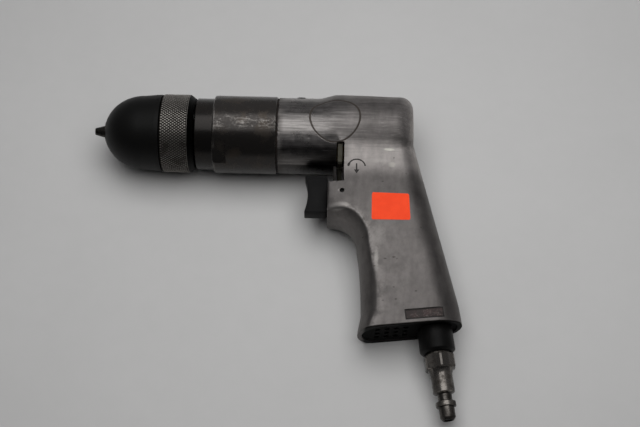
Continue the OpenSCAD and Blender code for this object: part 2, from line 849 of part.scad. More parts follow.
module trigger() {
  color([0.05, 0.05, 0.055])
    translate([0, 0, -trigger_half])
      linear_extrude(height = 2 * trigger_half)
        difference() {
          translate([trigger_x, -trigger_mid - trigger_h / 2])
            square([trigger_t, trigger_h]);
          translate([trigger_x + trigger_hollow - 32.5, -trigger_mid])
            circle(r = 32.5);
        }
}

module trigger_stem() {
  color([0.6, 0.6, 0.58])
    translate([0, -throttle_drop, 0])
      difference() {
        rod(trigger_back_x, valve_seat_x, stem_r);
        translate([cross_pin_x - trigger_travel - cross_pin_r - free_gap, -cross_pin_r - free_gap, -10])
          cube([trigger_travel + 2 * cross_pin_r + 2 * free_gap, 2 * cross_pin_r + 2 * free_gap, 20]);
      }
}

module throttle_bushing() {
  color([0.72, 0.6, 0.33])
    translate([0, -throttle_drop, 0])
      difference() {
        rod(bushing_x, bushing_end_x, throttle_r - seat_fit);
        rod(bushing_x - 1, bushing_end_x + 1, stem_r + run_fit);
        translate([cross_pin_x, 0, -20])
          cylinder(h = 40, r = cross_pin_r + seat_fit);
        translate([bushing_end_x - 5, 0, 0])
          rotate([-90, 0, 0])
            cylinder(h = 20, r = 2.2);
        rod(bushing_end_x - 7, bushing_end_x + 1, stem_r + 0.8);
      }
}

module cross_pin() {
  color([0.35, 0.35, 0.35])
    translate([cross_pin_x, -throttle_drop, -grip_half_top + 1.6])
      cylinder(h = 2 * grip_half_top - 3.2, r = cross_pin_r);
}

module throttle_valve() {
  color([0.1, 0.1, 0.1])
    translate([0, -throttle_drop, 0]) {
      taper(valve_seat_x, valve_seat_x + 2, throttle_r - 2.2, throttle_r - 1.2);
      rod(valve_seat_x + 1.9, poppet_x - 2, throttle_r - 1.2);
      rod(poppet_x - 2.1, poppet_x + 2, 2.6);
    }
}

module throttle_spring() {
  color([0.6, 0.6, 0.58])
    translate([0, -throttle_drop, 0])
      loft([for (i = [0:spring_n]) let (t = i / spring_n, a = 360 * spring_turns * t)
        [for (k = [0:7]) let (p = -45 * k, r = spring_r + wire_r * cos(p))
          [spring_x + t * (spring_end_x - spring_x) + wire_r * sin(p), r * cos(a), r * sin(a)]]]);
}

module exhaust_cover() {
  color([0.09, 0.09, 0.09])
    difference() {
      butt()
        chamber(-cover_t - cover_in, -cover_in, chamber_front, chamber_half - 2 * seat_fit);
      inlet()
        translate([0, 0, -6])
          cylinder(h = 10, r = shank_r + 0.3);
      butt()
        for (i = [0:3], s = [-1, 0, 1])
          translate([-chamber_front - 4 + 5 * i, 6 * s, -6])
            cylinder(h = 10, r = 1.5);
    }
}

module muffler() {
  color([0.4, 0.38, 0.33])
    difference() {
      butt()
        chamber(-chamber_depth + 1, -cover_t - cover_in - 0.1, room_front, room_half - 0.3);
      inlet()
        translate([0, 0, -chamber_depth - 2])
          cylinder(h = chamber_depth + 4, r = column_r + 0.3);
    }
}

module inlet_bushing() {
  color([0.1, 0.1, 0.1])
    inlet()
      difference() {
        union() {
          translate([0, 0, -chamber_depth - 8])
            cylinder(h = chamber_depth + 8, r = shank_r);
          translate([0, 0, -0.35])
            cylinder(h = bushing_len - 1.15, r = bushing_r);
          translate([0, 0, bushing_len - 1.51])
            cylinder(h = 1.51, r1 = bushing_r, r2 = bushing_r - 1.5);
        }
        translate([0, 0, -chamber_depth - 9])
          cylinder(h = chamber_depth + 12, r = 4.4);
        translate([0, 0, 1.5])
          cylinder(h = bushing_len, r = 6.6 + seat_fit);
      }
}

module inlet_screen() {
  color([0.55, 0.5, 0.35])
    inlet()
      difference() {
        translate([0, 0, -6])
          cylinder(h = 6, r1 = 2.4, r2 = 4.3);
        translate([0, 0, -5.4])
          cylinder(h = 6, r1 = 2, r2 = 3.9);
      }
}

module air_plug() {
  hex_z = bushing_len + 1;
  neck_z = hex_z + hex_len;
  color([0.45, 0.43, 0.39])
    inlet()
      difference() {
        union() {
          translate([0, 0, 2.5])
            cylinder(h = hex_z - 2, r = 6.6);
          intersection() {
            translate([0, 0, hex_z])
              rotate([0, 0, 30])
                cylinder(h = hex_len, r = hex_af / sqrt(3), $fn = 6);
            union() {
              translate([0, 0, hex_z])
                cylinder(h = hex_len / 2 + 0.01, r1 = hex_af / 2, r2 = hex_af / 2 + hex_len / 2 * 1.4);
              translate([0, 0, hex_z + hex_len / 2])
                cylinder(h = hex_len / 2, r1 = hex_af / 2 + hex_len / 2 * 1.4, r2 = hex_af / 2);
            }
          }
          translate([0, 0, neck_z - 0.01])
            cylinder(h = 3.01, r1 = collar_r + 1.5, r2 = collar_r + 0.45);
          translate([0, 0, neck_z + 2.9])
            cylinder(h = 9.6, r = collar_r + 0.45);
          translate([0, 0, neck_z + 12.4])
            cylinder(h = 1.11, r1 = collar_r, r2 = tip_r - 0.35);
          translate([0, 0, neck_z + 13.4])
            cylinder(h = 3.2, r = tip_r - 0.35);
          translate([0, 0, neck_z + 16.5])
            cylinder(h = 0.81, r1 = tip_r, r2 = collar_r);
          translate([0, 0, neck_z + 17.3])
            cylinder(h = 2.4, r = collar_r);
          translate([0, 0, neck_z + 19.6])
            cylinder(h = 6, r = tip_r);
          translate([0, 0, neck_z + 25.5])
            cylinder(h = 1.4, r1 = tip_r, r2 = tip_r - 1.1);
        }
        translate([0, 0, 1])
          cylinder(h = 60, r = 2.6);
      }
}

module oil_plug() {
  color([0.12, 0.12, 0.12])
    rotate([24, 0, 0])
      translate([oil_x, motor_bore_r + 0.3, 0])
        rotate([-90, 0, 0])
          difference() {
            cylinder(h = barrel_r - motor_bore_r + 0.1, r = 2.4);
            translate([0, 0, barrel_r - motor_bore_r - 0.9])
              cylinder(h = 3, r = 1.1, $fn = 6);
          }
}

chuck_sleeve();
chuck_ring();
chuck_body();
chuck_nut();
jaw_1();
jaw_2();
jaw_3();
thrust_washer();
chuck_screw();
spindle();
planet_pins();
planet_1();
planet_2();
planet_3();
ring_gear();
gear_case();
spindle_bearing();
bearing_clip();
spindle_seal();
case_gasket();
front_plate();
front_bearing();
motor_cylinder();
rotor();
vanes();
rear_plate();
rear_bearing();
reverse_valve();
reverse_lever();
housing();
trigger();
trigger_stem();
throttle_bushing();
cross_pin();
throttle_valve();
throttle_spring();
exhaust_cover();
muffler();
inlet_bushing();
inlet_screen();
air_plug();
oil_plug();
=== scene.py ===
# %% [markdown]
# # Air drill
#
# A reversible air drill lies on its side on a pale surface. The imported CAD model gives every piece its
# place, so this lesson only dresses it: smooth castings, a knurled ring, worn finishes, light and camera.
# Everything is in metres, in the frame of the CAD model: X runs along the spindle from the nose backwards,
# the grip points to -Y, and +Z is the side that faces up here.

# %% Load the frame
import bpy
import bmesh
import json
import numpy as np
from itertools import product
from math import atan2, cos, degrees, inf, pi, radians, sin, sqrt, tan
from mathutils import Matrix, Vector
from mathutils.bvhtree import BVHTree

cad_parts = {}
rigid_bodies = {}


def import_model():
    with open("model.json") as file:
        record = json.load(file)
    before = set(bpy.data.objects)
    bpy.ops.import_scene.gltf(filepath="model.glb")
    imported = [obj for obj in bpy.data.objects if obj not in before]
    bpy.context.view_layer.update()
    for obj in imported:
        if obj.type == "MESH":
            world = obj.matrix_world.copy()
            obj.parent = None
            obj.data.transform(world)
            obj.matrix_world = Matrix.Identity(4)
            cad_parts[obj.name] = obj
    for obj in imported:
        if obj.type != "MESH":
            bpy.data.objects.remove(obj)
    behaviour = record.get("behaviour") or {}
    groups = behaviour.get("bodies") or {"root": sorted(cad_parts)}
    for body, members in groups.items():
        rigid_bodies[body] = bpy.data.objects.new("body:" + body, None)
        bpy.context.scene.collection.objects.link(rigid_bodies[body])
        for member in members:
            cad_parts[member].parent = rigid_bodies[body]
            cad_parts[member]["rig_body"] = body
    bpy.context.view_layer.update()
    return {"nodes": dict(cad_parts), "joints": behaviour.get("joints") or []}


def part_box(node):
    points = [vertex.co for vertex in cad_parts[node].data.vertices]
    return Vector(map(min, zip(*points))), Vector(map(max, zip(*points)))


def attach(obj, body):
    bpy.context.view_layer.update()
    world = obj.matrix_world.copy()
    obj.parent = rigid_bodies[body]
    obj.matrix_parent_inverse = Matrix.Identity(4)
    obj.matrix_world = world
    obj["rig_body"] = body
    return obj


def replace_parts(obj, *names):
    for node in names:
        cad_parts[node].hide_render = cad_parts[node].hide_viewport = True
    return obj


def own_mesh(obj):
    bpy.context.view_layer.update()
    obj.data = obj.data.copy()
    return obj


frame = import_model()
nodes = frame["nodes"]
scene = bpy.context.scene
MM = 0.001
X_AXIS, Z_AXIS = Vector((1, 0, 0)), Vector((0, 0, 1))


def placed(name, data):
    """A new object in the scene."""
    made = bpy.data.objects.new(name, data)
    scene.collection.objects.link(made)
    return made


# %% [markdown]
# ## A socket with operators
#
# A material is a sum of masks: worn here, grimy there. Node by node that is hard to read, so one class
# wraps a socket: adding two wires adds the Math node. It builds the Geometry Nodes tree of the knurl too.

# %% The wire
class Wire:
    """A socket of a node tree. Sums and products of wires add their own Math nodes."""

    def __init__(self, tree, socket=None):
        self.tree, self.socket = tree, socket

    def feed(self, node, inputs):
        """Sets inputs of a node to wires or plain values."""
        for key, value in inputs.items():
            if isinstance(value, Wire):
                self.tree.links.new(value.socket, node.inputs[key])
            else:
                node.inputs[key].default_value = value

    def node(self, kind, inputs={}, out=0, **settings):
        made = self.tree.nodes.new(kind)
        for key, value in settings.items():
            setattr(made, key, value)
        self.feed(made, inputs)
        return Wire(self.tree, made.outputs[out])

    def math(self, operation, a, b=0.0):
        return self.node("ShaderNodeMath", {0: a, 1: b}, operation=operation)

    def operator(operation):
        return lambda self, other=0.0: self.math(operation, self, other)

    __add__ = __radd__ = operator("ADD")
    __mul__ = __rmul__ = operator("MULTIPLY")
    __sub__, __truediv__ = operator("SUBTRACT"), operator("DIVIDE")
    __mod__, __pow__, __abs__ = operator("FLOORED_MODULO"), operator("POWER"), operator("ABSOLUTE")

    def __rsub__(self, other):
        return self.math("SUBTRACT", other, self)

    def outs(self):
        return [Wire(self.tree, socket) for socket in self.socket.node.outputs]

    def axes(self):
        return self.node("ShaderNodeSeparateXYZ", {0: self}).outs()

    def mm(self):
        """X, Y and Z of this place in millimetres."""
        return self.scaled(1 / MM).axes()

    def step(self, low, high):
        """0 below low, 1 above high, smooth between."""
        return self.node("ShaderNodeMapRange", {"Value": self, "From Min": low, "From Max": high},
                         interpolation_type="SMOOTHSTEP")

    def fall(self, low, high):
        """1 below low, 0 above high, smooth between."""
        return 1 - self.step(low, high)

    def band(self, low, full, fading, gone):
        """1 between full and fading, 0 below low and above gone."""
        return self.step(low, full) * self.fall(fading, gone)

    def mix(self, a, b):
        """Colour a where this mask is 0 and colour b where it is 1."""
        a, b = (c if isinstance(c, Wire) else (*c, 1.0) for c in (a, b))
        return self.node("ShaderNodeMix", {0: self, 6: a, 7: b}, 2, data_type="RGBA")

    def noise(self, size, detail=4, rough=0.6):
        return self.node("ShaderNodeTexNoise", {"Vector": self, "Scale": 1 / (size * MM), "Detail": detail,
                                                "Roughness": rough})

    def stretched(self, x, y, z):
        return self.node("ShaderNodeMapping", {"Vector": self, "Scale": (x, y, z)})

    def scaled(self, amount):
        """This colour or place times an amount."""
        return self.node("ShaderNodeVectorMath", {0: self, "Scale": amount}, operation="SCALE")

    def held(self):
        """This value kept between 0 and 1."""
        return self.node("ShaderNodeClamp", {"Value": self})

    def bump(self, depth, height, strength=1.0):
        return self.node("ShaderNodeBump", {"Strength": strength, "Distance": depth * MM, "Height": height})


print("wire ready")


# %% Finishes
def finish(recipe, name=None):
    """A material in place of its recipe, which gives the Principled sockets from the object coordinates."""
    material = bpy.data.materials.new(name or recipe.__name__)
    material.use_nodes = True
    nodes_of = material.node_tree.nodes
    place = Wire(material.node_tree).node("ShaderNodeTexCoord", out="Object")
    place.feed(nodes_of["Principled BSDF"], recipe(place))
    print("finish", material.name, "of", len(nodes_of), "nodes")
    return material


def mottled(name, noise, steps, colours, rough, grain=None, **sockets):
    """A plain finish of two colours in clouds. grain is the depth, noise and strength of its bump."""
    def recipe(place):
        cloud = place.noise(*noise)
        wired = {"Base Color": cloud.step(*steps).mix(*colours),
                 "Roughness": rough[0] + rough[1] * cloud}
        if grain:
            depth, pattern, strength = grain
            wired["Normal"] = place.bump(depth, place.noise(*pattern), strength)
        return {**wired, **sockets}

    return finish(recipe, name)


print("finish helpers ready")

# %% [markdown]
# ## The camera and the floor
#
# The photograph looks down at about 66 degrees, a little turned. The tool rests on the swell of its barrel
# and on the far edge of its butt, which is thinner, so in the tool's own frame the floor is tilted by about
# four degrees. Tilting the floor, not the tool, keeps every piece in the CAD frame.

# %% Camera at the photograph's angle
look_up, look_turn = radians(66), radians(1.5)
aim, away = Vector((124.38, -48.27, 0)) * MM, 633.3 * MM
film_width, picture_pixels, focal_pixels = 36, 640, 1136
back = Vector((sin(look_turn) * cos(look_up), -cos(look_turn) * cos(look_up), sin(look_up)))
right = Vector((cos(look_turn), sin(look_turn), 0))
facing = Matrix((right, back.cross(right), back)).transposed().to_4x4()
lens = bpy.data.cameras.new("camera")
lens.sensor_width, lens.lens = film_width, film_width * focal_pixels / picture_pixels
camera = placed("camera", lens)
camera.matrix_world = Matrix.Translation(aim + back * away) @ facing
scene.camera = camera
scene.view_settings.view_transform = "Standard"
print("camera", [round(v, 3) for v in camera.location], "lens", round(lens.lens, 1))


# %% Floor that the tool lies on
@finish
def pale_board(place):
    cloud = place.noise(70, 3, 0.5) * 0.6 + place.noise(9) * 0.4
    return {"Base Color": cloud.step(0.2, 0.8).mix((0.455, 0.452, 0.448), (0.475, 0.472, 0.468)),
            "Roughness": 0.75 - 0.15 * cloud, "Specular IOR Level": 0.2}


floor_tilt, floor_drop, floor_half = radians(3.87), 22.83 * MM, 6
floor_up = Vector((0, sin(floor_tilt), cos(floor_tilt)))
floor_front = floor_up.cross(X_AXIS)
above = Vector((0.1, -0.05, 0))
middle = above - floor_up * (floor_drop + floor_up.dot(above))
square = [middle + X_AXIS * sx * floor_half + floor_front * sy * floor_half
          for sx, sy in ((-1, -1), (1, -1), (1, 1), (-1, 1))]
floor_mesh = bpy.data.meshes.new("floor")
floor_mesh.from_pydata(square, [], [(0, 1, 2, 3)])
floor_mesh.materials.append(pale_board)
floor = placed("floor", floor_mesh)
print("floor tilt", round(degrees(floor_tilt), 2), "normal", [round(v, 4) for v in floor_mesh.polygons[0].normal])

# %% [markdown]
# ## Light
#
# The reflections on the barrel show one wide bright panel overhead, a little behind the tool, and a dim
# room around it, darker on the viewer's side. An area lamp and a world with a soft gradient give the same
# bands on every polished round. A second, lower lamp, left out of reflections, stands for the light
# that a pale room throws back.

# %% Overhead lamps
def overhead(name, size_x, size_y, place, radiance, shows):
    """A soft area lamp facing down. shows tells whether polished metal reflects it."""
    light = bpy.data.lights.new(name, "AREA")
    light.shape, light.size, light.size_y = "RECTANGLE", size_x, size_y
    light.energy = radiance * pi * size_x * size_y
    lamp = placed(name, light)
    lamp.location, lamp.visible_glossy = place, shows
    print(name, size_x, size_y, "energy", round(light.energy, 2))


overhead("panel", 1.25, 1.16, (0.12, 0.27, 1.2), 1.15, True)
overhead("fill", 0.5, 0.5, (0.15, 0.03, 0.44), 2.35, False)

# %% Dim room
room = bpy.data.worlds.new("room")
scene.world = room
room.use_nodes = True
far_side = Wire(room.node_tree).node("ShaderNodeTexCoord", out="Generated").axes()[1] * 0.5 + 0.5
shade = far_side.step(0.25, 0.95).mix((0.045, 0.045, 0.047), (0.2, 0.2, 0.205))
far_side.feed(room.node_tree.nodes["Background"], {"Color": shade})
print("room of", len(room.node_tree.nodes), "nodes")

# %% [markdown]
# ## Helpers for meshes
#
# Most pieces of a drill are turned, cast or cut. `turned` spins an outline around the spindle axis, `cut`
# takes cutters away with an exact boolean, and `copy_of` makes a merged, smooth copy of a CAD node, whose
# own mesh is loose triangles. Lengths are written in millimetres and become metres on the way in.

# %% Pieces from points and outlines
def shaded(made, angle):
    """Smooth shading, sharp where faces meet at more than angle."""
    made.data.polygons.foreach_set("use_smooth", [True] * len(made.data.polygons))
    made.data.set_sharp_from_angle(angle=radians(angle))
    return made


def settled(made, angle=30, bevel=0.0):
    """Merges doubles, points the faces outwards, bevels the edges and sets the smooth shading."""
    work = bmesh.new()
    work.from_mesh(made.data)
    bmesh.ops.remove_doubles(work, verts=work.verts, dist=1e-6)
    bmesh.ops.recalc_face_normals(work, faces=work.faces)
    if bevel:
        bmesh.ops.dissolve_limit(work, angle_limit=radians(1), verts=work.verts, edges=work.edges)
        edges = [e for e in work.edges if len(e.link_faces) == 2 and e.calc_face_angle() > radians(angle)]
        bmesh.ops.bevel(work, geom=edges, offset=bevel * MM, segments=2, profile=0.5, affect="EDGES",
                        clamp_overlap=True)
    work.to_mesh(made.data)
    work.free()
    return shaded(made, angle)


def piece(name, points, faces, angle=30, bevel=0.0):
    """A settled mesh piece from points in millimetres."""
    mesh = bpy.data.meshes.new(name)
    places = [tuple(v) for v in np.asarray(points, float) * MM]
    mesh.from_pydata(places, [], [tuple(int(i) for i in f) for f in faces])
    return settled(placed(name, mesh), angle, bevel)


def prism(name, low, high, angle=30, bevel=0.0):
    """A closed piece between two loops with the same number of points."""
    n = len(low)
    sides = [(k, (k + 1) % n, n + (k + 1) % n, n + k) for k in range(n)]
    return piece(name, low + high, sides + [tuple(range(n)), tuple(range(n, 2 * n))], angle, bevel)


def turned(name, outline, steps=128, place=Matrix.Identity(4), reach=None, angle=28):
    """A closed outline of (x, r) spun around the X axis, then moved by place. reach(x, a) limits r at angle a."""
    rows = []
    for k in range(steps):
        a = 2 * pi * k / steps
        for x, r in outline:
            r = min(r, reach(x, a)) if reach else r
            rows.append(place @ Vector((x, r * cos(a), r * sin(a))))
    n = len(outline)
    faces = [(k * n + i, k * n + (i + 1) % n, (k + 1) % steps * n + (i + 1) % n, (k + 1) % steps * n + i)
             for k in range(steps) for i in range(n)]
    return piece(name, rows, faces, angle)


def rounded(outline, size, steps=3):
    """The closed outline with each corner that turns sharply rounded by about size."""
    out, n = [], len(outline)
    for i in range(n):
        p, c, q = (Vector(outline[j % n]) for j in (i - 1, i, i + 1))
        u, v = p - c, q - c
        if u.normalized().dot(v.normalized()) < -0.9:
            out.append(tuple(c))
            continue
        s = min(size, u.length * 0.45, v.length * 0.45)
        a, b = c + u.normalized() * s, c + v.normalized() * s
        out += [tuple(a.lerp(c, t).lerp(c.lerp(b, t), t)) for t in np.linspace(0, 1, steps + 1)]
    return out


print("turning helpers ready")


# %% Cutting and copying
def block(low, high, place=Matrix.Identity(4), name="cutter"):
    """A plain box between two corners."""
    points = [place @ Vector(corner) for corner in product(*zip(low, high))]
    return piece(name, points, [(0, 1, 3, 2), (4, 6, 7, 5), (0, 4, 5, 1), (2, 3, 7, 6), (0, 2, 6, 4), (1, 5, 7, 3)])


def bore(start, end, r, steps=64):
    """A plain round cutter from one point to another."""
    a, b = Vector(start), Vector(end)
    place = Matrix.Translation(a) @ (b - a).to_track_quat("X", "Z").to_matrix().to_4x4()
    circle = [(r * cos(2 * pi * k / steps), r * sin(2 * pi * k / steps)) for k in range(steps)]
    return prism("cutter", *([place @ Vector((x, *c)) for c in circle] for x in (0, (b - a).length)))


def baked(made):
    """Turns the piece's modifiers into its own mesh."""
    shape = bpy.data.meshes.new_from_object(made.evaluated_get(bpy.context.evaluated_depsgraph_get()))
    made.modifiers.clear()
    made.data = shape
    return made


def cut(made, *cutters, operation="DIFFERENCE", angle=30):
    """Applies boolean cutters, turns the result into the piece's own mesh and removes the cutters."""
    for cutter in cutters:
        step = made.modifiers.new("cut", "BOOLEAN")
        step.operation, step.solver, step.object = operation, "MANIFOLD", cutter
    shaded(baked(made), angle)
    for cutter in cutters:
        bpy.data.objects.remove(cutter)
    return made


def joined(made, *others):
    """One piece from several meshes that touch and share a body."""
    for other in others:
        work = bmesh.new()
        work.from_mesh(made.data)
        work.from_mesh(other.data)
        work.to_mesh(made.data)
        work.free()
        bpy.data.objects.remove(other)
    return made


def copy_of(node, name, angle=30, bevel=0.0):
    """A merged, smooth shaded copy of a CAD node."""
    return settled(placed(name, nodes[node].data.copy()), angle, bevel)


def dressed(made, material):
    """The piece with this finish alone."""
    made.data.materials.clear()
    made.data.materials.append(material)
    return made


def fit(made, node, material):
    """Gives a new piece its finish and the body that the CAD node rides on."""
    dressed(made, material)
    body = nodes[node]["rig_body"]
    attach(made, body)
    print(made.name, "on", body, "with", len(made.data.polygons), "faces")
    return made


print("cutting helpers ready")

# %% [markdown]
# ## Black finishes and the chuck sleeve
#
# The turning sleeve is a smooth black moulding with a domed nose and a rolled lip around the jaws. It could
# be the CAD node itself, but its dome is made of flat steps there, so the same outline is turned again with
# a fine arc and a rounded lip. Its satin skin has a faint moulded grain and pale scuffs near the back edge.

# %% Sleeve outline and skin
@finish
def sleeve_black(place):
    near_back = place.mm()[0].step(14, 30)
    grain, smear = place.noise(0.5, 3, 0.5), place.noise(9)
    lines = place.stretched(0.25, 1, 1).noise(0.7).step(0.62, 0.72)
    scuff = lines * smear.step(0.45, 0.65) * near_back
    return {"Base Color": scuff.mix((0.003, 0.003, 0.0028), (0.014, 0.013, 0.012)),
            "Roughness": 0.4 + 0.14 * smear + 0.15 * scuff, "Specular IOR Level": 0.16,
            "Normal": place.bump(0.03, grain * 0.5 + smear, 0.35)}


dome_length, dome_radius, dome_shift, nose_hole, lip_width = 23.0, 21.1, 0.6, 6.5, 0.7
lip_r = nose_hole + lip_width
lip = atan2(lip_r, sqrt(dome_radius ** 2 - lip_r ** 2))
dome = [(dome_length * (1 - cos(a)) - dome_shift, dome_radius * sin(a)) for a in np.linspace(lip, pi / 2, 40)]
roll = [(dome[0][0] + 0.7 - 0.675 * cos(t), lip_r - lip_width * sin(t)) for t in np.linspace(pi / 2, 0.25, 5)]
back_edge = [(30, 21.9), (32.3, 22.0), (32.8, 21.8), (33, 21.4)]
hollow = [(33, 18.9), (21.3, 18.9), (21.3, 17), (13.5, 17), (13.5, 10.86), (5.7, 10.86), (2.4, nose_hole)]
sleeve = turned("chuck_sleeve_skin", roll + dome + back_edge + hollow, 160)
fit(sleeve, "chuck_sleeve", sleeve_black)
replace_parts(sleeve, "chuck_sleeve")

# %% [markdown]
# ## The knurled ring
#
# Behind the sleeve a steel ring is held while the sleeve is turned, so it is knurled: rows of small pressed
# diamonds. A bump map would look flat at the silhouette. Geometry Nodes place one four-sided stud at each
# crossing of an interleaved grid wrapped around the axis, with the sizes as named inputs.

# %% Steel for the ring
@finish
def ring_steel(place):
    x, y, z = place.mm()
    peak = ((y * y + z * z) ** 0.5).step(22, 22.26)
    stain = place.noise(5)
    # Painted shade: the stud tips are darker on the lower side, mixed with stains of their own, and the rear
    # chamfer is painted almost black. The valleys between the studs are darker than the tips.
    stain_and_painted_shade = (y.fall(-18, -6) * 0.75 + 0.35 * stain.step(0.45, 0.7)).held()
    tip = stain_and_painted_shade.mix((0.5, 0.475, 0.44), (0.13, 0.122, 0.112))
    chamfer_painted_shade = x.step(48.8, 49.1)
    ground = chamfer_painted_shade.mix((0.045, 0.04, 0.035), (0.005, 0.0048, 0.0045))
    return {"Base Color": (peak * (1 - chamfer_painted_shade)).mix(ground, tip), "Metallic": 1.0,
            "Roughness": 0.5 - 0.04 * peak + 0.12 * stain,
            "Normal": place.bump(0.02, place.noise(0.3, 3, 0.5), 0.3)}


# %% Knurl tree
def knurl_tree(material):
    tree = bpy.data.node_groups.new("knurl", "GeometryNodeTree")
    tree.interface.new_socket("Studs", in_out="OUTPUT", socket_type="NodeSocketGeometry")
    for kind, names in (("Float", ("Start", "Radius", "Height", "Pitch")), ("Int", ("Rows", "Around"))):
        for name in names:
            tree.interface.new_socket(name, in_out="INPUT", socket_type="NodeSocket" + kind)
    begin = Wire(tree)

    def vector(x, y, z):
        return begin.node("ShaderNodeCombineXYZ", {0: x, 1: y, 2: z})

    start, radius, height, pitch, rows, around = begin.node("NodeGroupInput").outs()[:6]
    index = begin.node("GeometryNodeInputIndex")
    row = begin.math("FLOOR", (index + 0.5) / around)
    turn = (index - row * around + 0.5 * (row % 2.0)) * (2 * pi) / around
    spot = vector(start + row * pitch, radius * begin.math("COSINE", turn), radius * begin.math("SINE", turn))
    points = begin.node("GeometryNodePoints", {"Count": rows * around, "Position": spot})
    stud = begin.node("GeometryNodeMeshCone", {"Vertices": 4, "Radius Top": 0.5, "Radius Bottom": 1.0, "Depth": 1.0,
                                               "Side Segments": 1, "Fill Segments": 1}, fill_type="NGON")
    lean, size = vector(turn - pi / 2, 0.0, 0.0), vector(pitch, radius * pi / around, height)
    studs = begin.node("GeometryNodeInstanceOnPoints", {"Points": points, "Instance": stud, "Rotation": lean,
                                                        "Scale": size})
    solid = begin.node("GeometryNodeRealizeInstances", {"Geometry": studs})
    coated = begin.node("GeometryNodeSetMaterial", {"Geometry": solid, "Material": material})
    begin.feed(tree.nodes.new("NodeGroupOutput"), {0: coated})
    return tree


def grown(name, tree, **sizes):
    """Runs a tree on an empty mesh with its named inputs set by identifier, and keeps the result."""
    made = placed(name, bpy.data.meshes.new(name))
    step = made.modifiers.new(name, "NODES")
    step.node_group = tree
    for item in tree.interface.items_tree:
        if item.in_out == "INPUT":
            step[item.identifier] = sizes[item.name]
    return baked(made)


faces_per_stud = 6
knurl = grown("ring_knurl", knurl_tree(ring_steel), Start=0.0346, Radius=0.02185, Height=0.00044,
              Pitch=0.0011, Rows=13, Around=88)
print("studs", len(knurl.data.polygons) // faces_per_stud)

# %% Ring under the knurl
ring_line = [(33.4, 18.9), (33.4, 21.5), (33.7, 21.9), (34.0, 21.88), (48.6, 21.88), (48.65, 22.25),
             (48.8, 22.3), (52, 19.9), (52, 17), (43, 17), (43, 18.9)]
ring = joined(turned("chuck_ring_knurled", ring_line, 204), knurl)
fit(ring, "chuck_ring", ring_steel)
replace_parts(ring, "chuck_ring")

# %% [markdown]
# ## The gear case
#
# A turned steel case holds the planet gears. It was blackened once, and the black has worn to brown in clouds.
# Most bright scratches, with dark chips among them, are a painted highlight in a band along the side that faces
# up, and the lower side, the top and the neck are painted darker as shade. The case is turned from its outline,
# then two wrench flats are cut with a boolean, as a mill would do it.

# %% Worn black
case_radius = 22.2


def worn_black(place):
    x, y, z = place.mm()
    arc = case_radius * place.math("ARCTAN2", y, z)
    cloud, knock = place.noise(11, 5, 0.62), place.noise(1.3, 4, 0.62)
    lines = place.stretched(0.16, 1, 1).noise(0.7)
    belt = x.band(63.5, 66, 92, 100)
    brown = cloud.step(0.47, 0.68) * (0.35 + 0.65 * belt)
    # Painted highlight: the band along the side that faces up, where most bright scratches and the chips lie.
    painted_light = abs(arc + 3).fall(2.5, 6.2) * x.step(63, 64.5)
    patch = place.noise(7).step(0.4, 0.6)
    stripe = (lines.step(0.5, 0.62) * 0.55 + knock.step(0.54, 0.64) * 0.5) * painted_light * patch
    stray = lines.step(0.6, 0.7) * place.noise(6).step(0.52, 0.66) * belt * 0.5
    bright = (stripe + stray).held()
    chip = knock.fall(0.34, 0.42) * painted_light
    edge = x.band(62.6, 63.1, 63.8, 64.6) + x.step(97.9, 98.6)
    bare = (bright * (1 - chip) + 0.5 * edge * cloud.step(0.4, 0.6)).held()
    black = brown.mix((0.056, 0.051, 0.048), (0.082, 0.068, 0.056))
    colour = (chip * 0.7).mix(bare.mix(black, (0.36, 0.34, 0.32)), (0.02, 0.017, 0.015))
    # Painted shade: darker on the lower side, on the top and at the neck.
    low_side_painted_shade, top, neck_painted_shade = y.fall(-12, 0), y.step(8, 15), x.fall(62.2, 63)
    shade = (1 - 0.5 * low_side_painted_shade) * (1 - 0.22 * top) * (1 - 0.45 * neck_painted_shade)
    dents = cloud * 0.6 + place.noise(0.8) * 0.3 - 0.4 * bright - 0.5 * chip
    return {"Base Color": colour.scaled(shade), "Metallic": 0.78 + 0.22 * bare,
            "Roughness": 0.2 + 0.16 * brown + 0.06 * cloud + 0.1 * bare, "Normal": place.bump(0.04, dents, 0.4)}


case_black = finish(worn_black, "case_black")

# %% Case with its flats
case_line = [(53, 17), (53, 20.1), (53.3, 20.4), (62.7, 20.4), (63, 20.6), (63, 21.6), (63.6, case_radius),
             (98.3, case_radius), (98.7, 21.8), (98.7, 20.1), (66, 20.1), (66, 14.1), (54, 14.1), (54, 9.4),
             (53, 9.4)]
case = turned("gear_case_worn", rounded(case_line, 0.25, 2), 160)
flat_depth, flats_at = 1.34, (54, 234)
flats = [block((61.5, -20, case_radius - flat_depth), (70.6, 20, 32), Matrix.Rotation(radians(turn), 4, "X"))
         for turn in flats_at]
cut(case, *flats, angle=12)
fit(case, "gear_case", case_black)
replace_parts(case, "gear_case")

# %% [markdown]
# ## The housing
#
# Barrel and grip are one aluminium casting, with a soft fillet where they meet and a grip whose sections
# fan out around the finger scoop. Such a blend could be a subdivision cage, but a field is exact: each
# form is a signed distance, a smooth union blends them, and a grid of cells turns the zero surface into
# quads. Each point is then slid onto the surface along the field's slope. Machined faces are cut after.

# %% Forms of the casting
barrel_start, barrel_back, barrel_radius = 99.5, 176.0, 21.7
top_swell, back_round, side_round = 2.55, 6.0, 5.0
face_x, scoop_deep, scoop_rise = 128.3, 16.7, 17.7
fan_x, fan_y = face_x, -71.5
grip_top, grip_half, scoop_half, butt_half = 2.0, 17.0, 16.5, 14.8
butt_y, butt_slope, back_slope, butt_flare = -119.2, radians(6.5), radians(13.9), 1.8
flare_y, back_x, back_y = fan_y - 35.5, barrel_back - 1.2, 0.5
slot_back, slot_low = 137.0, -35.3


def ease(t):
    t = np.clip(t, 0, 1)
    return t * t * (3 - 2 * t)


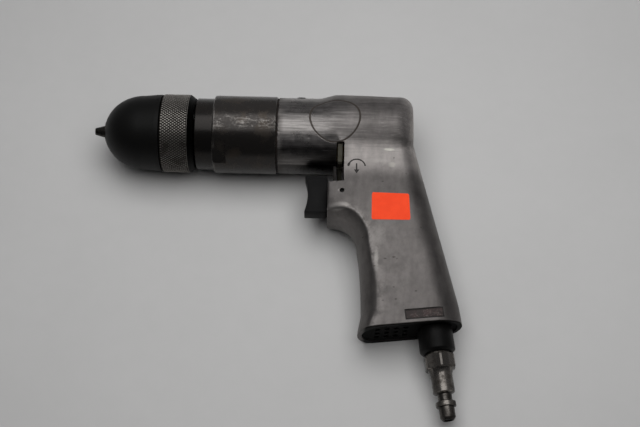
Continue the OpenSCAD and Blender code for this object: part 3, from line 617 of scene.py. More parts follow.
def front_line(y):
    """Front of the grip in the side view: it leans back below the scoop and flares at the butt."""
    lean = 2.9 * (1 - np.exp((y - fan_y) / 14))
    return face_x + scoop_deep + lean - butt_flare * ease((flare_y - y) / (flare_y - butt_y))


def back_line(y):
    return back_x + tan(back_slope) * (back_y - y)


butt_run = (back_line(butt_y) - front_line(butt_y)) / (1 + tan(butt_slope) * tan(back_slope))
butt_back_y = butt_y + butt_run * tan(butt_slope)
print("butt from", round(float(front_line(butt_y)), 1), "to", round(float(front_line(butt_y) + butt_run), 1))


# %% Sections of the grip
def section_ends(w):
    """Front and back point of the grip's section w: -1 at the butt, 0 at the scoop's end, 1 along the face."""
    t, a = np.maximum(-w, 0), np.radians(90 * np.clip(w, 0, 1))
    fy, by = fan_y + t * (butt_y - fan_y), fan_y + t * (butt_back_y - fan_y)
    tucked = back_line(by) - 1.2 * ease((-by - 100) / 18)
    reach = (back_line(fan_y) - fan_x) / (np.cos(a) + tan(back_slope) * np.sin(a))
    reach = np.minimum(reach, (grip_top - fan_y) / np.maximum(np.sin(a), 1e-3))
    straight = [np.stack(end) for end in ((front_line(fy), fy), (tucked, by))]
    fanned = [np.stack((fan_x + rx * np.cos(a), fan_y + ry * np.sin(a)))
              for rx, ry in ((scoop_deep, scoop_rise), (reach, reach))]
    return [np.where(w < 0, below, around) for below, around in zip(straight, fanned)]


def section_of(x, y):
    """The section that passes through a point of the side view, by halving."""
    low, high = np.full(x.shape, -1.25), np.ones(x.shape)
    for _ in range(22):
        w = (low + high) / 2
        f, b = section_ends(w)
        above = (b[0] - f[0]) * (y - f[1]) - (b[1] - f[1]) * (x - f[0]) > 0
        low, high = np.where(above, w, low), np.where(above, high, w)
    return (low + high) / 2


def smooth_union(a, b, k):
    h = np.clip(0.5 + 0.5 * (b - a) / k, 0, 1)
    return b * (1 - h) + a * h - k * h * (1 - h)


print("grip sections ready")


# %% Fields of barrel and grip
def barrel_field(x, y, z):
    """A round bar that swells on top, its back corner rounder at the sides than on top."""
    r, along = np.maximum(np.hypot(y, z), 1e-6), x - barrel_start
    swell = top_swell * ease((along - 22) / 12) * (1 - 0.25 * ease((along - 36) / 40))
    corner = back_round + side_round * (z / r) ** 2
    side = r - barrel_radius - swell * ((1 + y / r) / 2) ** 1.2 + corner
    end = x - barrel_back + corner
    d = np.hypot(np.maximum(side, 0), np.maximum(end, 0)) + np.minimum(np.maximum(side, end), 0) - corner
    return np.maximum(d, barrel_start - x)


def rounded_end(u, z, deep, half, n):
    """Distance to a bar whose end at u = 0 is a curve of the given depth. A larger n makes it squarer."""
    e, q = np.maximum((deep - u) / deep, 0), np.abs(z) / half
    total = np.maximum((e ** n + q ** n) ** (1 / n), 1e-3)
    slope = np.hypot((e / total) ** (n - 1) / deep, (q / total) ** (n - 1) / half)
    return (total - 1) / np.maximum(slope, 1e-3)


rim_reach = 3


def grip_field(x, y, z, w, past_rim=False):
    """Flat sides, drawn in toward the trigger, meet a blunt nose at a worn rim, and a round back.

    With past_rim it is how far a point lies past that rim, kept within rim_reach.
    """
    (fx, fy), (bx, by) = section_ends(w)
    length = np.hypot(bx - fx, by - fy)
    u = ((x - fx) * (bx - fx) + (y - fy) * (by - fy)) / length
    t, s = np.clip(-w, 0, 1.2), 1 - np.clip(w, 0, 1)
    half = np.where(w < 0, scoop_half + t * (butt_half - scoop_half), grip_half + s * (scoop_half - grip_half))
    drawn_in = 2.0 + 2.0 * ease((-40 - y) / 13)
    half = half - drawn_in * np.clip((139 - x) / 10.7, 0, 1) ** 1.5 * ease((-24 - y) / 8)
    swept = ease((t - 0.15) / 0.4) * (1 - ease((t - 0.72) / 0.28))
    nose = rounded_end(u, z, 12.7 - 8.2 * ease(2 * w - 1) + 4.2 * swept, half * 1.147, 2.0)
    if past_rim:
        return np.where(u < length / 2, np.clip(nose - np.abs(z) + half, -rim_reach, rim_reach), -rim_reach)
    nose = -smooth_union(-nose, half - np.abs(z), 1.2 + 0.9 * t + 1.5 * swept)
    d = np.where(u < length / 2, nose, rounded_end(length - u, z, 15 + 2 * t, half, 2.2))
    d = -smooth_union(-d, x - face_x, 1.0)
    under = (x - front_line(butt_y)) * sin(butt_slope) - (y - butt_y) * cos(butt_slope)
    d = -smooth_union(-d, -under, 0.5)
    d = np.maximum(d, np.minimum(slot_back - x, y - slot_low))
    return np.maximum(d, y - grip_top)


def housing_field(x, y, z, w=None):
    """Barrel and grip with a fillet between them that runs out toward the back."""
    w = section_of(x, y) if w is None else w
    fillet = 1 + 4.5 * ease((173 - x) / 14)
    return smooth_union(barrel_field(x, y, z), grip_field(x, y, z, w), fillet)


print("at the axis", round(float(housing_field(*(np.array([v]) for v in (150.0, 0.0, 0.0)))[0]), 2))


# %% Surface of a field
def surface_net(field, low, step):
    """One point in each grid cell that the surface crosses, and one quad across each crossed grid edge."""
    within = field < 0
    shape = np.array(field.shape) - 1
    total, count = np.zeros((*shape, 3)), np.zeros(shape)
    for axis in range(3):
        for p, q in product((0, 1), repeat=2):
            a, b = (np.insert((p, q), axis, end) for end in (0, 1))
            va, vb = (field[tuple(slice(i, i + n) for i, n in zip(corner, shape))] for corner in (a, b))
            crossed = (va < 0) != (vb < 0)
            t = np.where(crossed, va / np.where(crossed, va - vb, 1), 0)
            for c in range(3):
                total[..., c] += np.where(crossed, a[c] + (t if c == axis else 0), 0)
            count += crossed
    cell = count > 0
    index = np.full(shape, -1)
    index[cell] = np.arange(cell.sum())
    points = (np.argwhere(cell) + total[cell] / count[cell][:, None]) * step + low
    faces = []
    for axis in range(3):
        order = ((axis, (axis + 1) % 3, (axis + 2) % 3), (0, 1, 2))
        a, n = np.moveaxis(within, *order), np.moveaxis(index, *order)
        flip = a[:-1, 1:-1, 1:-1] != a[1:, 1:-1, 1:-1]
        i, j, k = np.nonzero(flip)
        quad = np.stack([n[i, j, k], n[i, j + 1, k], n[i, j + 1, k + 1], n[i, j, k + 1]], 1)
        first = a[:-1, 1:-1, 1:-1][flip]
        quad[~first] = quad[~first][:, ::-1]
        faces.append(quad)
    return points, np.concatenate(faces)


def cast_points(step, probe=0.02):
    """Points and quads of the casting, each point slid onto the surface by the slope over a small probe."""
    low, high = np.array([barrel_start - 2.3 * step, -122.0, -24.5]), (206, 27, 24.6)
    x, y, z = (np.arange(a, b, step) for a, b in zip(low, high))
    w = section_of(*np.meshgrid(x, y, indexing="ij"))
    points, faces = surface_net(housing_field(*np.meshgrid(x, y, z, indexing="ij"), w[:, :, None]), low, step)
    for _ in range(3):
        p = points.T
        v = housing_field(*p)
        g = np.stack([(housing_field(*(p + d[:, None])) - v) / probe for d in np.eye(3) * probe])
        points = points - np.clip(v * g / np.maximum((g * g).sum(0), 0.2), -0.4, 0.4).T
    return points, faces


housing = piece("housing_cast", *cast_points(0.7), angle=40)
print("casting points", len(housing.data.vertices))

# %% [markdown]
# ## Machined faces of the housing
#
# After casting, a shop bores the motor chamber and the throttle, saws the slot of the reverse lever, clears
# the notch behind the trigger and sinks the butt for the exhaust cover. Booleans do the same here. The thin
# wall between notch and slot is added first, since the field leaves that corner open.

# %% Butt and inlet frames
inlet_at = Vector((187.122, -114.515, 0))


def leaning(angle):
    """A frame at the inlet whose X axis points down out of the butt."""
    down = Vector((sin(angle), -cos(angle), 0))
    return Matrix.Translation(inlet_at) @ Matrix((down, Z_AXIS, down.cross(Z_AXIS))).transposed().to_4x4()


butt_frame, inlet_frame = leaning(butt_slope), leaning(radians(7.6))


def down_inlet(depth):
    return inlet_frame @ Vector((depth, 0, 0))


def stadium(z0, z1, ahead, r, steps=48):
    """A long rounded cutter in the frame of the butt, from depth z0 to z1."""
    loop = [(r * cos(t), r * sin(t)) for t in np.linspace(-pi / 2, pi / 2, steps)]
    loop += [(r * cos(t) - ahead, r * sin(t)) for t in np.linspace(pi / 2, 3 * pi / 2, steps)]
    return prism("cutter", *([butt_frame @ Vector((z, b, -a)) for a, b in loop] for z in (z0, z1)))


print("inlet points to", [round(v, 3) for v in inlet_frame.to_3x3() @ X_AXIS])

# %% Cut the housing
wall = block((131.2, -45, -5), (132.9, -20, 5))
cut(housing, wall, operation="UNION", angle=35)
throttle_y, pin_x, wide = -41.3, 136.2, 30
slot_end, slot_floor, slot_roof = slot_back + 0.1, slot_low - 0.1, -24
oil_at, oil_turn = Vector((112, 0, 0)), radians(24)
oil_way = Vector((0, cos(oil_turn), sin(oil_turn)))
motor_cuts = [bore((87, 0, 0), (139, 0, 0), 18, 128), bore((138, 0, 0), (161, 0, 0), 14, 96)]
slot_cuts = [block((132.8, slot_floor, -wide), (slot_end, -12.6, wide)),
             block((120, slot_floor, 5), (slot_end, slot_roof, wide)),
             block((120, slot_floor, -wide), (slot_end, slot_roof, -5))]
throttle_cuts = [block((118, -50.6, -5.4), (131.2, -24, 5.4)),
                 bore((129.2, throttle_y, 0), (170.6, throttle_y, 0), 6.5),
                 bore((pin_x, throttle_y, -wide), (pin_x, throttle_y, wide), 1.35, 32)]
oil_cut = bore(oil_at + oil_way * 12, oil_at + oil_way * 30, 2.45, 48)
butt_cuts = [stadium(-2.6, 5, 26.6, 12.5),
             cut(stadium(-16, -2.5, 22.6, 11.9), bore(down_inlet(-20), down_inlet(0), 9.1)),
             bore(down_inlet(-25), down_inlet(3), 7.15)]
cut(housing, *motor_cuts, *slot_cuts, *throttle_cuts, oil_cut, *butt_cuts, angle=35)
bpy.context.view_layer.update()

# %% Plate recess and spigot
cut(housing, block((-7.8, 14.2, -4.4), (-2.1, 20, 16.2), butt_frame), angle=35)
spigot = turned("spigot", [(88, 18), (88, 19.6), (88.5, 20.05), (100.4, 20.05), (100.4, 18)], 128)
joined(housing, spigot)
print("housing with spigot", len(housing.data.polygons))

# %% [markdown]
# ## Cast aluminium with a history
#
# The casting was tumbled smooth and has dulled. The barrel is still polished by hands and drawn along its
# length by cloths, the grip is duller and blotchy. Its front rim is rubbed bright and carries a painted highlight,
# so each point of the mesh stores how close it is to that rim. Rubbed spots on the fillet, the grip's side, above
# the scoop, at the pin, at the butt's lip and on a ledge under the barrel carry painted highlights, two painted
# glints sit on the fillet, and bands of painted light and shade stand for the reflections of the room. Brown grime
# sits at the joint and in the badge's groove, small pits are left from the mould, painted shade darkens the
# corners, and the underside is black behind a bare front lip. The badge itself stays bare: only its engraved line
# is there.

# %% Rim that hands rub bright, with a painted highlight along it
spots = np.empty(len(housing.data.vertices) * 3)
housing.data.vertices.foreach_get("co", spots)
px, py, pz = spots.reshape(-1, 3).T / MM
cast_skin = (np.abs(housing_field(px, py, pz)) < 0.1) & (py < -36)
past = np.where(cast_skin, grip_field(px, py, pz, section_of(px, py), past_rim=True), -rim_reach)
housing.data.attributes.new("past_rim", "FLOAT", "POINT").data.foreach_set("value", past)
print("points on the rim", int((np.abs(past) < 0.5).sum()))

# %% Spots of the casting
# Pits are x, y and radius. Rubbed spots with painted highlights, and painted glints, are x, y, two radii,
# raggedness and amount.
pits_at = ((159.8, -80.7, 1.1), (164.6, -79.8, 1.3), (166.2, -80.6, 0.8), (154.0, -84.9, 1.0),
           (164.6, -96.5, 0.8), (176.2, -98.4, 1.0), (158.8, -103.9, 0.9), (165.6, -103.1, 1.0),
           (148.0, -67.5, 0.9), (171.5, -30.5, 0.7), (158.5, -35.5, 0.8))
wear_and_highlight_spots = ((162, -16.2, 5.5, 1.3, 1.2, 0.7), (156, -22.8, 8, 1.6, 1.2, 0.5), (134.5, -50.2, 6.5, 2.2, 0.6, 0.65),
             (155.2, -81.5, 1.5, 9.5, 1.2, 0.45), (156, -67, 5.5, 9, 1.3, 0.28), (158, -119, 7, 1.1, 1.2, 0.25),
             (134.5, -41.2, 0.7, 0.9, 0.4, 0.4))
painted_glints_at = ((161.9, -16.2, 3.4, 0.9, 0.9, 1.0), (163.6, -25.2, 2.3, 2.0, 0.9, 0.5))
badge_x, badge_arc, badge_long, badge_tall, badge_widens = 131.5, -0.2, 13.9, 13.3, 0.13
lip_x = 146.65
print("pits", len(pits_at), "rubbed spots", len(wear_and_highlight_spots) + len(painted_glints_at))


# %% Masks of the casting
@finish
def housing_alloy(place):
    x, y, z = place.mm()
    near_side = z.step(7, 10)
    cloud, blotch, fine = place.noise(16, 5, 0.58), place.noise(4.5), place.noise(1.1)

    def near(cx, cy, rx, ry, ragged, amount=1.0):
        d = ((x - cx) / rx) ** 2.0 + ((y - cy) / ry) ** 2.0 + fine * ragged
        return d.fall(0.45, 1.6) * near_side * amount

    # Where barrel, front and back of the grip are
    behind = x.step(133, 142)
    above_web = y.step(-30, -25)
    barrel = y.step(-21.5, -13.5) * behind + above_web * (1 - behind)
    front = (1 - behind) * above_web
    round_back = (x - back_line(y)).step(-17, -9) * y.fall(-50, -30)
    past = place.node("ShaderNodeAttribute", out="Fac", attribute_name="past_rim")
    nose = past.step(0.0, 0.9)
    beside = past.step(-2.8, -0.4) * (1 - nose) * blotch.step(0.3, 0.6)

    # Scratches, pits, and rubbed places that carry painted highlights and glints, the rim and a ledge under the
    # barrel among them
    hair = place.stretched(0.05, 1, 1).noise(0.5, 4, 0.62)
    streak = place.stretched(0.035, 1, 1).noise(1.6, 3, 0.6)
    scratch = hair.step(0.6, 0.68) * place.noise(7, 3, 0.5).step(0.46, 0.6) * barrel
    # The worn rim also carries a painted highlight.
    rim = abs(past + 0.1).fall(0.05, 0.5) * place.noise(1.8, 4, 0.65).step(0.4, 0.6) * near_side
    rim = rim * y.step(-90, -70) * x.step(134, 139)
    ledge_painted_highlight = x.band(125.2, 125.8, 131.6, 132.2) * abs(z - 0.6).fall(0.9, 1.6) * y.band(-30, -28, -21.5, -20.5)
    wear_and_painted_highlight = (sum(near(*spot) for spot in wear_and_highlight_spots) + 0.8 * rim + ledge_painted_highlight).held()
    painted_glint = sum(near(*spot) for spot in painted_glints_at).held()
    cells = place.node("ShaderNodeTexVoronoi", {"Vector": place.stretched(1, 0.5, 1), "Scale": 1 / (5.0 * MM)})
    distance, chance = cells.outs()[:2]
    specks = chance.axes()[0].step(0.7, 0.74) * distance.fall(0.03, 0.075)
    pit = (sum(near(cx, cy, r, 0.55 * r, 1.3) for cx, cy, r in pits_at) + specks).held()

    # Groove of the badge, and grime
    arc = case_radius * place.math("ARCTAN2", y, z)
    tall = (arc - badge_arc) / badge_tall
    oval = (((x - badge_x) / (badge_long * (1 + badge_widens * tall))) ** 2.0 + tall ** 2.0) ** 0.5
    groove = (abs(oval - 1.0) * 14.0).fall(0.34, 0.7) * near_side
    joint = x.fall(99.7, 103.5) * cloud.step(0.35, 0.6)
    grime = (joint * 0.6 + 0.95 * groove + 0.6 * pit + blotch.step(0.56, 0.74) * 0.16
             + cloud.step(0.58, 0.78) * 0.14).held()

    # Painted light and shade: bands that stand for the reflections of the overhead panel and the dim room, from the
    # side of the grip up over the barrel, lighter on the cheek and beside the rim, darker on the nose and the round
    # back.
    # Cloud, blotch, brushing and the drawn streaks are the metal's own tone.
    side_painted_light = (0.84 + 0.2 * y.fall(-52, -42) - 0.1 * y.fall(-105, -80) + 1.2 * y.step(-34, -22)
               + 0.25 * y.step(-20, -14) - 1.25 * y.step(-14.5, -9.5) + 0.35 * y.step(6, 18)
               + 0.8 * x.step(167, 173) * y.step(-12, -6))
    cheek = x.fall(129, 137) * (1 - nose)
    brushed = place.stretched(1, 0.3, 1).noise(3.5)
    side_painted_light = side_painted_light * (1 - 0.3 * nose) * (1 + 0.45 * beside) * (1 + 0.5 * cheek) * (0.72 + 0.56 * brushed)
    front_painted_light = 0.8 + 0.85 * y.fall(-14, -4) - 1.28 * y.fall(-16.5, -11.5) + 0.8 * y.fall(-21.4, -20.4)
    drawn = streak.step(0.3, 0.7) * 0.5 - 0.25 + hair.step(0.35, 0.7) * 0.4 - 0.2
    lift = (side_painted_light * (1 - front) + front_painted_light * front) * (1 - 0.26 * round_back)
    lift = lift * (0.72 + 0.56 * cloud) * (0.68 + 0.64 * blotch) * (1 + barrel * (1 - 0.45 * behind) * drawn)

    # Painted shade in the corners under the barrel, in the lever's slot and in the trigger's notch, and the black
    # underside
    hollow = y.fall(-19.5, -10) * x.band(108, 126, 126, 134)
    slot = x.fall(133.1, 133.5) * y.band(-35.4, -35.2, -21.2, -20.5)
    notch = x.fall(131.2, 131.4) * abs(z).fall(5.3, 5.6) * y.band(-50.8, -50.5, -26, -24)
    dark = (hollow * 0.4 + slot * 0.9 + notch).held()
    below = (x - lip_x) * sin(butt_slope) - (y - butt_y) * cos(butt_slope)
    black_underside = below.step(-1.1, -0.4) * x.step(148, 150.5)

    polish = barrel * x.fall(116, 150)
    colour = polish.mix((0.232, 0.216, 0.208), (0.33, 0.312, 0.302)).scaled(lift)
    for mask, tint in ((scratch * 0.7, (0.52, 0.5, 0.48)), (wear_and_painted_highlight, (0.5, 0.475, 0.45)),
                       (painted_glint, (0.74, 0.72, 0.65)), (dark, (0.02, 0.019, 0.018)),
                       (grime, (0.05, 0.042, 0.036)), (black_underside, (0.006, 0.0055, 0.0052))):
        colour = mask.mix(colour, tint)
    rough = (0.45 - 0.22 * polish - 0.08 * barrel - 0.12 * wear_and_painted_highlight + 0.1 * cloud + 0.2 * grime
             + 0.12 * blotch * barrel + 0.05 * fine).held()
    height = fine * 0.12 + blotch * 0.35 + cloud * 0.4 - 1.2 * groove - pit - 0.15 * scratch + 0.1 * hair * barrel
    return {"Base Color": colour, "Metallic": (1.0 - 0.5 * grime) * (1 - black_underside), "Specular IOR Level": 0.05,
            "Roughness": rough, "Normal": place.bump(0.12, height, 0.5)}


fit(housing, "housing", housing_alloy)
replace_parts(housing, "housing")

# %% [markdown]
# ## Trigger and reverse lever
#
# The trigger is a black button with a hollow front for the finger. It is drawn as a side profile, pushed out
# to both sides and bevelled. The lever keeps the shape of its CAD node: a merged copy with bevelled edges
# catches a thin line of light along each edge, which bare triangles do not.

# %% Trigger
@finish
def trigger_black(place):
    smear, grain = place.noise(6), place.noise(0.4, 3, 0.5)
    rub = place.noise(2.5).step(0.55, 0.75) * smear.step(0.45, 0.6)
    return {"Base Color": rub.mix((0.0054, 0.0054, 0.0055), (0.0095, 0.0093, 0.009)),
            "Roughness": 0.42 + 0.2 * smear, "Specular IOR Level": 0.12,
            "Normal": place.bump(0.03, grain + smear, 0.3)}


front_x, rear_x, middle_y, half_tall, half_wide = 115.0, 128.2, -38.4, 11.2, 4.8
hollow_deep, hollow_radius = 2.3, 32.5
side_view = [(max(front_x, front_x + hollow_deep - hollow_radius + sqrt(hollow_radius ** 2 - v * v)), middle_y + v)
             for v in np.linspace(-half_tall, half_tall, 17)]
side_view += [(rear_x, middle_y + half_tall), (rear_x, middle_y - half_tall)]
button = prism("trigger_button", *([(x, y, z) for x, y in side_view] for z in (-half_wide, half_wide)), 25, 0.9)
fit(button, "trigger", trigger_black)
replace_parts(button, "trigger")


# %% Lever
@finish
def ground_steel(place):
    cloud, hair = place.noise(7, 5, 0.6), place.stretched(0.15, 1, 1).noise(0.4, 3, 0.5)
    grime = cloud.step(0.5, 0.75)
    return {"Base Color": grime.mix((0.064, 0.06, 0.047), (0.035, 0.031, 0.023)), "Metallic": 0.8,
            "Roughness": 0.42 + 0.2 * cloud + 0.1 * grime, "Normal": place.bump(0.02, hair + 0.5 * cloud, 0.35)}


lever = fit(copy_of("reverse_lever", "reverse_lever_worn", 35, 0.25), "reverse_lever", ground_steel)
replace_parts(lever, "reverse_lever")

# %% [markdown]
# ## Air inlet
#
# A black bushing screws into the butt and a steel quick-connect plug stands in it: a hexagon for the
# wrench, a long body, a groove for the coupling's balls, a flange and a tip. All of it is turned on the
# inlet's own leaning axis. The hexagon is turned too: its radius is limited by six flats at each angle.

# %% Bushing
@finish
def bushing_black(place):
    cloud, rub = place.noise(4, 5, 0.62), place.noise(1.5).step(0.58, 0.72)
    return {"Base Color": rub.mix((0.0025, 0.0024, 0.0023), (0.009, 0.008, 0.0072)),
            "Specular IOR Level": 0.15, "Roughness": 0.36 + 0.2 * cloud, "Normal": place.bump(0.04, cloud, 0.4)}


bushing_line = [(-24, 4.4), (1.5, 4.4), (1.5, 6.65), (13.6, 6.65), (13.6, 7.9), (12.1, 9.4), (-0.35, 9.4),
                (-0.35, 7.1), (-24, 7.1)]
bushing = turned("inlet_bushing_black", rounded(bushing_line, 0.35), 96, inlet_frame)
fit(bushing, "inlet_bushing", bushing_black)
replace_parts(bushing, "inlet_bushing")


# %% Plug
@finish
def plug_steel(place):
    cloud, fine, z = place.noise(5, 5, 0.62), place.noise(0.9), place.mm()[2]
    old = (cloud.step(0.42, 0.64) * 0.85 + fine.step(0.54, 0.68) * 0.3).held()
    # Painted light and shade: the side that faces up is lighter, the low sides and the hexagon's top faces darker.
    painted_light = 0.3 + 0.7 * z.step(2.8, 5.2) * (1 - 0.6 * z.step(6, 6.8))
    return {"Base Color": old.mix((0.26, 0.24, 0.22), (0.05, 0.042, 0.035)).scaled(painted_light),
            "Metallic": 1.0 - 0.25 * old, "Roughness": 0.2 + 0.24 * old + 0.08 * fine,
            "Normal": place.bump(0.05, fine * 0.5 + cloud, 0.4)}


hex_start, hex_end, across_flats, across_corners = 14.6, 22.4, 15.3, 17.1


def six_flats(x, a):
    if not hex_start <= x <= hex_end:
        return inf
    return min(across_flats / 2 / cos(a % (pi / 3) - pi / 6), across_corners / 2)


hexagon = [(hex_start, 7.3), (14.62, 7.65), (14.9, 8.05), (15.2, 8.45), (15.5, 8.85), (21.5, 8.85), (21.8, 8.45),
           (22.1, 8.05), (22.38, 7.65), (hex_end, 6.9)]
thread = [(3, 2.6), (3, 6.5), (14.55, 6.5)]
body = [(23.2, 6.45), (25.4, 5.75), (34.6, 5.75), (34.9, 5.4), (35.8, 3.75), (39, 3.75)]
tip = [(39.6, 5.1), (39.8, 5.3), (42.0, 5.3), (42.2, 5.1), (42.25, 4.1), (47.9, 4.1), (49.3, 3.0), (49.3, 2.6)]
plug = turned("air_plug_worn", thread + hexagon + body + tip, 96, inlet_frame, six_flats, 22)
fit(plug, "air_plug", plug_steel)
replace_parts(plug, "air_plug")

# %% [markdown]
# ## Small pieces that show
#
# The jaws, the pin, the oil plug, the joint ring and the exhaust cover have the right shape in CAD already.
# Merged copies get smooth shading, fine bevels and finishes of their own.

# %% Finishes of the small pieces
@finish
def cover_black(place):
    cloud, grain = place.noise(5), place.noise(0.5, 3, 0.5)
    return {"Base Color": cloud.step(0.4, 0.7).mix((0.002, 0.0019, 0.0018), (0.004, 0.0036, 0.0033)),
            "Roughness": 0.6 + 0.2 * cloud, "Specular IOR Level": 0.05,
            "Normal": place.bump(0.04, grain + cloud, 0.35)}


joint_rust = mottled("joint_rust", (3, 4, 0.6), (0.35, 0.65), ((0.004, 0.0033, 0.003), (0.012, 0.007, 0.005)),
                     (0.7, 0.2), (0.1, (0.7, 4, 0.6), 0.5))
jaw_steel = mottled("jaw_steel", (3, 5, 0.6), (0.4, 0.65), ((0.05, 0.047, 0.043), (0.022, 0.02, 0.018)),
                    (0.3, 0.25), (0.03, (0.5, 4, 0.5), 0.35), Metallic=1.0)
small = {"case_gasket": ("gasket", joint_rust, 30, 0.0),
         "exhaust_cover": ("trigger_black", cover_black, 35, 0.0),
         "cross_pin": ("dark_steel", bushing_black, 35, 0.15), "oil_plug": ("dark_steel", bushing_black, 35, 0.15)}
for jaw in ("jaw_1", "jaw_2", "jaw_3"):
    small[jaw] = ("steel", jaw_steel, 30, 0.0)
for node, (slot, material, angle, bevel) in small.items():
    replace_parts(fit(copy_of(node, node + "_fine", angle, bevel), node, material), node)

# %% [markdown]
# ## Things laid on the casting
#
# A shop sticker and the printed direction mark lie on the curved side of the grip. Each is drawn flat in the
# side view, then dropped onto the casting with rays, so it follows the surface and sits on it from any side.

# %% Dropping points onto the casting
casting = BVHTree.FromObject(housing, bpy.context.evaluated_depsgraph_get())
ray_start, sunk = 60, -0.1


def on_casting(x, y, lift):
    hit, normal = casting.ray_cast(Vector((x, y, ray_start)) * MM, -Z_AXIS)[:2]
    return (hit + normal * lift * MM) / MM


def sheet_on_casting(name, grid, thick):
    """A thin closed sheet over a grid of side-view points, its underside sunk a little into the casting."""
    rows, columns = len(grid), len(grid[0])
    points = [on_casting(x, y, lift) for lift in (thick, sunk) for row in grid for x, y in row]
    top = [[r * columns + c for c in range(columns)] for r in range(rows)]
    size = rows * columns
    faces = [(top[r][c], top[r][c + 1], top[r + 1][c + 1], top[r + 1][c])
             for r in range(rows - 1) for c in range(columns - 1)]
    rim = top[0][:-1] + [row[-1] for row in top[:-1]] + top[-1][:0:-1] + [row[0] for row in top[:0:-1]]
    faces += [tuple(size + i for i in face[::-1]) for face in faces]
    faces += [(rim[k], rim[k - 1], size + rim[k - 1], size + rim[k]) for k in range(len(rim))]
    return piece(name, points, faces, 40)


print("casting side at sticker", round(on_casting(162, -50, 0).z, 2))


# %% Sticker
@finish
def sticker_orange(place):
    cloud, fine = place.noise(5), place.noise(0.6)
    rub = fine.step(0.62, 0.72) * cloud.step(0.45, 0.6)
    orange = cloud.step(0.3, 0.7).mix((0.84, 0.058, 0.009), (0.79, 0.05, 0.008))
    return {"Base Color": rub.mix(orange, (0.62, 0.12, 0.07)), "Roughness": 0.5 + 0.15 * cloud,
            "Specular IOR Level": 0.3, "Normal": place.bump(0.04, cloud + 0.3 * fine, 0.4)}


a, b, c, d = (Vector(corner) for corner in ((152.61, -42.25), (172.79, -42.63), (173.52, -58.10), (152.47, -58.36)))
corner_cut = 0.022
grid = []
for v in np.linspace(0, 1, 17):
    pull = corner_cut if v in (0.0, 1.0) else 0.0
    grid.append([tuple(a.lerp(b, u).lerp(d.lerp(c, u), v)) for u in np.linspace(pull, 1 - pull, 23)])
sticker = sheet_on_casting("shop_sticker", grid, 0.11)
fit(sticker, "housing", sticker_orange)


# %% Direction mark
def stroke(path, width):
    """The grid of a stroke: the path's points with one point to each side, width given at each point."""
    path, out = [Vector(p) for p in path], []
    for k, p in enumerate(path):
        run = (path[min(k + 1, len(path) - 1)] - path[max(k - 1, 0)]).normalized()
        off = Vector((-run.y, run.x)) * width[k] / 2
        out.append([tuple(p + off), tuple(p), tuple(p - off)])
    return out


mark_ink = mottled("mark_ink", (0.7, 4, 0.6), (0.45, 0.75), ((0.012, 0.010, 0.0095), (0.032, 0.028, 0.026)),
                   (0.5, 0.2))
line_width, blob_width, head_width, point_width, ink_thick = 0.75, 1.3, 3.0, 0.2, 0.05
bend = [(144.1 - 4.75 * sin(t), -27.3 + 4.9 * cos(t)) for t in np.linspace(radians(84), radians(-80), 25)]
bend_width = [blob_width if k in (1, 2, 3) else line_width for k in range(25)]
shaft = [(143.98 + 0.08 * t, -24.95 - 4.0 * t) for t in np.linspace(0, 1, 7)]
head = [(144.05, -28.7 - 2.3 * t) for t in np.linspace(0, 1, 6)]
strokes = {"direction_mark": (bend, bend_width), "shaft": (shaft, [line_width] * 7),
           "point": (head, np.linspace(head_width, point_width, 6))}
mark = joined(*(sheet_on_casting(name, stroke(*drawn), ink_thick) for name, drawn in strokes.items()))
fit(mark, "housing", mark_ink)


# %% Bare plate in the butt
@finish
def plate_dark(place):
    x, y = place.mm()[:2]
    deep = (x - inlet_at.x) * sin(butt_slope) - (y - inlet_at.y) * cos(butt_slope)
    along = (inlet_at.x - x) * cos(butt_slope) - (y - inlet_at.y) * sin(butt_slope)
    border = (abs(deep + 4.95).step(1.9, 2.2) + abs(along - 5.9).step(9.3, 9.7)).held()
    cloud, fine = place.noise(3), place.noise(0.8, 4, 0.65)
    rub = fine.step(0.5, 0.64) * cloud.step(0.38, 0.58)
    brown = cloud.step(0.4, 0.6).mix((0.02, 0.014, 0.013), (0.036, 0.021, 0.02))
    return {"Base Color": border.mix(rub.mix(brown, (0.13, 0.115, 0.107)), (0.012, 0.01, 0.009)),
            "Roughness": 0.5 + 0.2 * cloud, "Metallic": 0.4 * rub,
            "Normal": place.bump(0.08, fine - 0.8 * border, 0.6)}


plate = block((-7.7, 14.0, -4.3), (-2.2, 14.55, 16.1), butt_frame, "butt_plate")
fit(settled(plate, 30, 0.15), "housing", plate_dark)

# %% [markdown]
# ## Inside pieces
#
# Gears, bearings, rotor and valves stay the CAD nodes: their shapes are right and they hardly show. Each
# still gets a finish that fits what it is made of, so the part looks right when it is opened up. The steel
# is painted almost black as shade where it shows: in the gap behind the chuck and behind the trigger.

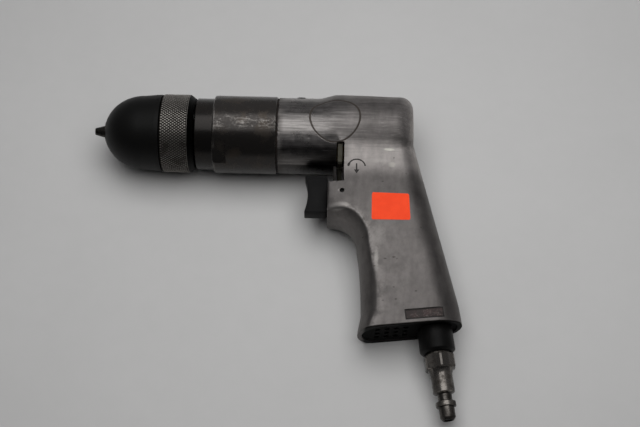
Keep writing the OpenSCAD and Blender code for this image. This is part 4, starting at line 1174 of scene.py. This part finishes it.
# %% Finishes of the inside
@finish
def gear_steel(place):
    cloud, x = place.noise(6), place.mm()[0]
    # Painted shade: the steel is almost black in the gap behind the chuck and behind the trigger.
    gap_painted_shade = x.band(48.5, 49.5, 54.5, 55.5) + x.band(125.5, 126, 132.5, 133)
    bright = cloud.step(0.35, 0.7).mix((0.40, 0.395, 0.385), (0.3, 0.29, 0.275))
    hair = place.stretched(0.1, 1, 1).noise(0.3, 3, 0.5)
    return {"Base Color": gap_painted_shade.mix(bright, (0.008, 0.0075, 0.007)), "Metallic": 1.0,
            "Roughness": 0.28 + 0.2 * cloud, "Normal": place.bump(0.01, hair, 0.3)}


brass = mottled("turned_brass", (5, 4, 0.6), (0.35, 0.7), ((0.52, 0.36, 0.12), (0.36, 0.24, 0.09)), (0.3, 0.2),
                Metallic=1.0)
rubber = mottled("soft_rubber", (2, 4, 0.6), (0.35, 0.7), ((0.016, 0.016, 0.016), (0.03, 0.029, 0.028)), (0.6, 0.2))
fibre = mottled("pressed_fibre", (0.8, 4, 0.6), (0.35, 0.7), ((0.12, 0.06, 0.025), (0.2, 0.11, 0.05)), (0.55, 0.2))
felt = mottled("grey_felt", (0.5, 5, 0.7), (0.3, 0.7), ((0.12, 0.11, 0.09), (0.24, 0.225, 0.19)), (0.9, 0.0),
               (0.3, (0.5, 5, 0.7), 0.8))
chuck_dark = finish(worn_black, "chuck_dark")

# %% Dress the inside
inside = ((gear_steel, "spindle planet_pins planet_1 planet_2 planet_3 ring_gear spindle_bearing front_bearing "
           "rear_bearing rotor chuck_screw thrust_washer bearing_clip trigger_stem front_plate rear_plate "
           "motor_cylinder"),
          (brass, "throttle_bushing throttle_valve inlet_screen reverse_valve"), (rubber, "spindle_seal"),
          (fibre, "vanes"), (felt, "muffler"), (chuck_dark, "chuck_body chuck_nut"))
for material, members in inside:
    for node in members.split():
        dressed(nodes[node], material)
    print(material.name, "on", len(members.split()), "nodes")

# %% [markdown]
# ## Throttle spring
#
# A coil of steel wire holds the throttle valve shut behind the trigger. The CAD node keeps its length while the
# trigger pushes the valve into it. A merged, smooth copy of the coil stands for the node, with a mesh of its own,
# and keeps that length too.

# %% Copy of the spring
low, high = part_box("throttle_spring")
pull = next(joint for joint in frame["joints"] if joint["name"] == "trigger_pull")["range_m"][1]
coil = copy_of("throttle_spring", "throttle_spring_coil", 60)
spring = fit(coil, "throttle_spring", gear_steel)
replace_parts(spring, "throttle_spring")
1 - pull / (high[0] - low[0])
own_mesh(spring)
print("spring", round((high[0] - low[0]) / MM, 2), "mm long, pulled", round(pull / MM, 2), "mm")
